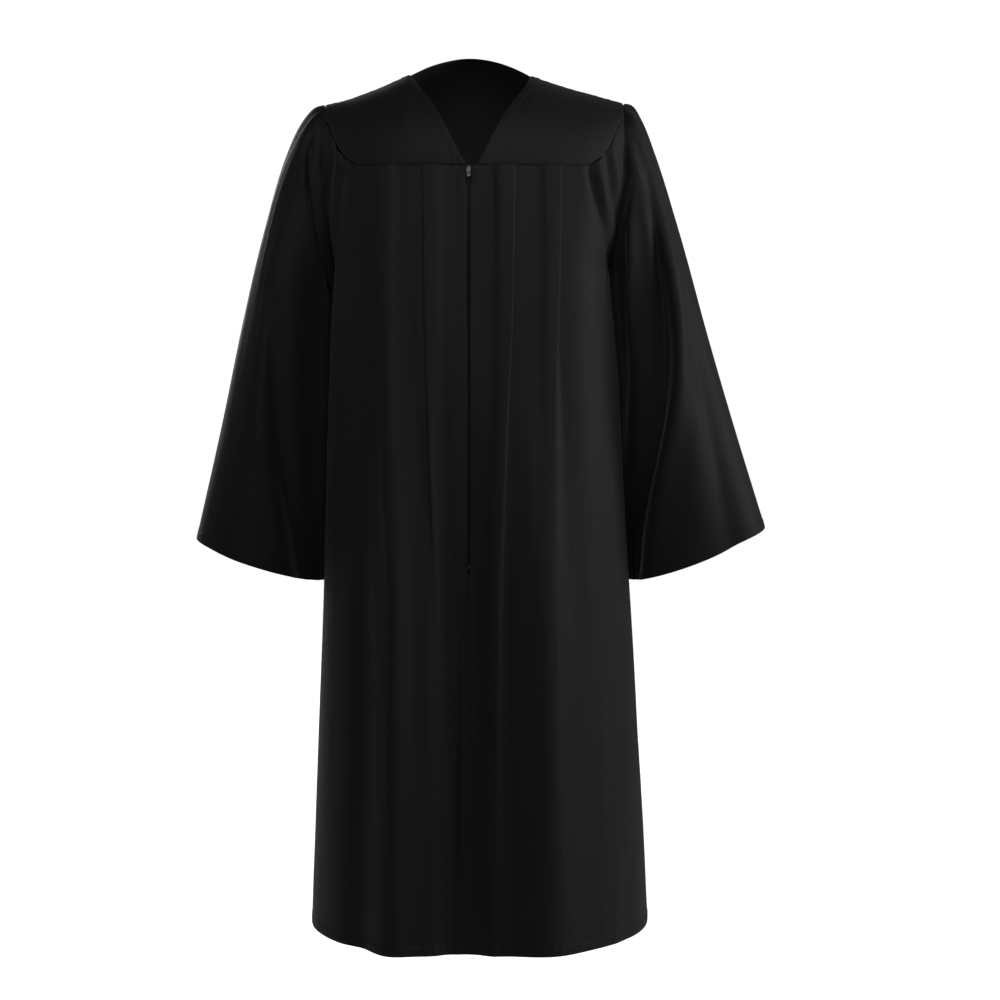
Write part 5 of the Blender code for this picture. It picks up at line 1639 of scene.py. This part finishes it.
def pull_tab():
    """The oval pull: a neck round the bar, a window for the bail and a pressed oval for the thumb."""
    oval = rod("zip_pull_oval", 28, TAB_HALF_WIDTH, TAB_THICKNESS, "z")
    show_alone(oval)
    bpy.ops.object.mode_set(mode="EDIT")
    bpy.ops.mesh.select_all(action="SELECT")
    bpy.ops.transform.rotate(value=math.pi / 2, orient_axis="X", center_override=(0.0, 0.0, 0.0))
    tall = 0.38 * TAB_LENGTH / TAB_HALF_WIDTH
    bpy.ops.transform.resize(value=(1.0, 1.0, tall), center_override=(0.0, 0.0, 0.0))
    middle = SLIDER_Z - 0.62 * TAB_LENGTH
    bpy.ops.transform.translate(value=(0.0, AXIS_Y, middle))
    bpy.ops.object.mode_set(mode="OBJECT")
    pick(oval, "FACE", lambda normal, part: abs(normal.y) > 0.9)
    bpy.ops.mesh.inset(thickness=0.0007, depth=-0.00012, use_individual=True)
    bpy.ops.object.mode_set(mode="OBJECT")
    foot = SLIDER_Z - 0.0042
    head = SLIDER_Z + TAB_BAR_HALF
    neck_size = (2 * TAB_NECK_HALF, TAB_THICKNESS, head - foot)
    with_tool(oval, block("zip_pull_neck", (0.0, AXIS_Y, (head + foot) / 2), neck_size), "UNION")
    low, high = SLIDER_Z - TAB_WINDOW_END, SLIDER_Z - TAB_BAR_HALF
    size = (2 * TAB_WINDOW_HALF, 4 * TAB_THICKNESS, high - low)
    with_tool(oval, block("zip_pull_window", (0.0, AXIS_Y, (low + high) / 2), size), "DIFFERENCE")
    round_edges(oval, 0.00015, 2)
    return oval


tab = pull_tab()
tab.name = "zip_pull"
finished(tab, "pull_tab", "zip_metal", "zip_pull_tab")

# %% Bottom stop
STOP_Y = centre_y(ZIP_BOTTOM_Z) + TAPE_INSET
STOP_TOP = ZIP_BOTTOM_Z - SEAM_GAP
stop = block("zip_stop", (0.0, STOP_Y + 0.0001, STOP_TOP - 0.0015), (2 * CHAIN_HALF, 0.0020, 0.003))
pick(stop, "FACE", lambda normal, part: normal.y < -0.9)
bpy.ops.mesh.inset(thickness=0.0006, depth=0.0)
bpy.ops.transform.translate(value=(0.0, 0.0003, 0.0))
bpy.ops.object.mode_set(mode="OBJECT")
round_edges(stop, 0.0003, 2)
finished(stop, "gown", "zip_metal", "zip_bottom_stop")

# %% [markdown]
# ## Seam allowances
# Behind each closed seam the edges of the cloth are pressed back. They close the hair-fine gap that
# the seam has on the face: under the zip, under the yoke and round the armholes.

# %% Seam allowances
ALLOWANCE = 0.012
ALLOWANCE_DEEP = 0.0018


def middle_allowance():
    """The pressed edges behind the closed middle seam below the zip."""
    rows = []
    across = np.linspace(-ALLOWANCE, ALLOWANCE, 13)
    for z in np.arange(ZIP_BOTTOM_Z - 0.014, HEM_Z, -0.01):
        left = front_face_y("left", np.abs(across), np.full_like(across, z))
        right = front_face_y("right", np.abs(across), np.full_like(across, z))
        y = np.where(across > 0, left, right) + ALLOWANCE_DEEP
        rows.append(np.stack([across, y, np.full_like(across, z)], axis=-1))
    return np.array(rows)


def armhole_allowance(side):
    """The pressed edges inside an armhole, from just inside the sleeve to inside the body."""
    loop = grids["sleeve_" + side][0]
    middle = loop.mean(axis=0)
    inward = middle - loop
    inward[:, 0] = 0.0
    inward /= np.linalg.norm(inward, axis=1, keepdims=True)
    rows = []
    for reach in (0.004, 0.001, -0.002, -0.006, -0.010):
        row = loop + inward * ALLOWANCE_DEEP
        row[:, 0] += SIDES[side] * reach
        rows.append(row)
    return np.array(rows)


def yoke_allowance(name, inward):
    """The pressed edges behind a yoke seam, from inside the yoke to inside the panel under it."""
    rows = []
    for drop in (0.008, 0.004, 0.0, -0.004, -0.008):
        row = grids[name][-1].copy()
        row[:, 1] += inward * 1.3 * ALLOWANCE_DEEP
        row[:, 2] = YOKE_SEAM_Z + drop
        rows.append(row)
    return np.array(rows)


allowances = {"middle": (middle_allowance(), False), "yoke_back": (yoke_allowance("yoke_back", -1), False)}
for side in SIDES:
    allowances["yoke_front_" + side] = (yoke_allowance("yoke_front_" + side, 1), False)
allowances.update({"armhole_" + side: (armhole_allowance(side), True) for side in SIDES})
for name, (grid, closed) in allowances.items():
    grids["allowance_" + name] = grid
    cloth_piece("seam_allowance_" + name, grid, closed=closed)

# %% [markdown]
# ## Stitches
# The hems, the neck edge and the zip are topstitched in matt thread. One stitch is shaped from a short
# rod that dips into the cloth at both ends, and it is laid again along each line.

# %% One stitch
STITCH_LENGTH = 0.0024
STITCH_STEP = 0.0032
THREAD_RADIUS = 0.00022


def one_stitch():
    """A short rounded thread that dips into the cloth at both ends."""
    stitch = rod("stitch", 5, THREAD_RADIUS, STITCH_LENGTH, "x")
    for share in (-0.3, 0.3):
        cut_across(stitch, (share * STITCH_LENGTH, 0.0, 0.0), (1.0, 0.0, 0.0))
    pick(stitch, "VERT", lambda co, part: abs(co.x) > 0.4 * STITCH_LENGTH)
    bpy.ops.transform.translate(value=(0.0, 0.0, -0.9 * THREAD_RADIUS))
    bpy.ops.transform.resize(value=(1.0, 0.6, 0.6), center_override=(0.0, 0.0, -0.9 * THREAD_RADIUS))
    bpy.ops.object.mode_set(mode="OBJECT")
    return stitch


stitch = one_stitch()
print("one stitch has", len(stitch.data.polygons), "faces")

# %% Lines of stitches
def line_at(grid, closed, sign, wall, distance, axis, from_end=False):
    """The face of the cloth along a line at one distance from its first or last row or column."""
    run = lengths(grid, axis)
    face = grid + outward(grid, closed) * sign * (wall / 2 + THREAD_RADIUS / 2)
    if axis == 0:
        run, face = run.T, np.swapaxes(face, 0, 1)
    normal = outward(grid, closed) * sign
    normal = np.swapaxes(normal, 0, 1) if axis == 0 else normal
    if from_end:
        run = run[:, -1:] - run
        run, face, normal = run[:, ::-1], face[:, ::-1], normal[:, ::-1]
    path = [[np.interp(distance, run[k], face[k, :, i]) for i in range(3)] for k in range(len(run))]
    out = [[np.interp(distance, run[k], normal[k, :, i]) for i in range(3)] for k in range(len(run))]
    return np.array(path), np.array(out)


def stitched(name, grid_name, distance, axis, from_end=False, wall=WALL, keep=None):
    """One line of stitches on a piece of cloth, and the piece that it makes."""
    closed = grid_name.startswith("sleeve")
    sign = FACE_SIGN[grid_name]
    path, out = line_at(grids[grid_name], closed, sign, wall, distance, axis, from_end)
    if keep is not None:
        wanted = keep(path)
        path, out = path[wanted], out[wanted]
    if closed:
        path, out = np.concatenate([path, path[:1]]), np.concatenate([out, out[:1]])
    line = laid("stitches_" + name, stitch, *stepped(path, out, STITCH_STEP))
    finished(line, "gown", "thread")
    sewn.setdefault(grid_name, []).append(line)
    return line


FACE_SIGN = {"back": 1, "yoke_back": 1}
for side in SIDES:
    FACE_SIGN["front_" + side] = SIDES[side] * FACING["front"]
    FACE_SIGN["yoke_front_" + side] = SIDES[side] * FACING["front"]
    FACE_SIGN["sleeve_" + side] = SIDES[side]
sewn = {}
STITCH_UP = HEM_DEPTH - 0.0008
stitched("hem_back", "back", STITCH_UP, 0, from_end=True, wall=HEM_WALL)
stitched("neck_back", "yoke_back", NECK_BAND * 0.9, 0, wall=HEM_WALL, keep=lambda path: np.abs(path[:, 0]) < 0.08)
for side in SIDES:
    stitched("hem_front_" + side, "front_" + side, STITCH_UP, 0, from_end=True, wall=HEM_WALL)
    stitched("hem_sleeve_" + side, "sleeve_" + side, STITCH_UP, 0, from_end=True, wall=HEM_WALL)
    stitched("neck_front_" + side, "yoke_front_" + side, NECK_BAND * 0.9, 1, wall=HEM_WALL)
    stitched("zip_" + side, "front_" + side, 0.008, 1, keep=lambda path: path[:, 2] > ZIP_BOTTOM_Z - 0.012)
bpy.data.objects.remove(stitch)

# %% [markdown]
# ## The cut of each sheet
# The gown is cut flat. For each sheet the table gives the width and length of its cloth laid flat, in
# metres, with the pleats and gathers let out, and the area of the shaped cut inside them. A hem's
# turned cloth isn't counted, because it lies against the sheet as a thicker edge.

# %% Sheets
CUTS = {
    "front_right": (0.375, 1.200, 0.370, "hung", ["yoke_cloth_front_right"]),
    "front_left": (0.395, 1.205, 0.382, "hung", ["yoke_cloth_front_left"]),
    "back": (0.750, 1.135, 0.7215, "hung", ["yoke_cloth_back"]),
    "yoke_front_right": (0.171, 0.217, 0.0263, "draped", []),
    "yoke_front_left": (0.175, 0.217, 0.0271, "draped", []),
    "yoke_back": (0.510, 0.196, 0.0769, "draped", []),
    "sleeve_right": (0.725, 0.664, 0.328, "hung", ["yoke_cloth_front_right", "yoke_cloth_back"]),
    "sleeve_left": (0.745, 0.671, 0.3325, "hung", ["yoke_cloth_front_left", "yoke_cloth_back"]),
    "zip_tape_right": (0.013, 0.569, 0.0072, "hung", ["front_cloth_right"]),
    "zip_tape_left": (0.013, 0.569, 0.0072, "hung", ["front_cloth_left"]),
    "allowance_middle": (0.0245, 0.531, 0.0128, "hung", ["front_cloth_right", "front_cloth_left"]),
    "allowance_yoke_front_right": (0.160, 0.016, 0.0025, "hung", ["yoke_cloth_front_right"]),
    "allowance_yoke_front_left": (0.164, 0.016, 0.0026, "hung", ["yoke_cloth_front_left"]),
    "allowance_yoke_back": (0.460, 0.016, 0.0073, "hung", ["yoke_cloth_back"]),
    "allowance_armhole_right": (0.550, 0.0142, 0.0077, "hung", ["front_cloth_right", "back_cloth"]),
    "allowance_armhole_left": (0.558, 0.0142, 0.0078, "hung", ["front_cloth_left", "back_cloth"]),
}


def cloth_area(grid, closed):
    """Area of the cloth over a grid."""
    wide = np.concatenate([grid, grid[:, :1]], axis=1) if closed else grid
    slants = np.cross(wide[1:, 1:] - wide[:-1, :-1], wide[1:, :-1] - wide[:-1, 1:])
    return np.linalg.norm(slants, axis=-1).sum() / 2


for name, (width, length, area, held, rests_on) in CUTS.items():
    measured = cloth_area(grids[name], name.startswith("sleeve") or "armhole" in name)
    print(name, "cut area", area, "m2, measured", round(float(measured), 4))
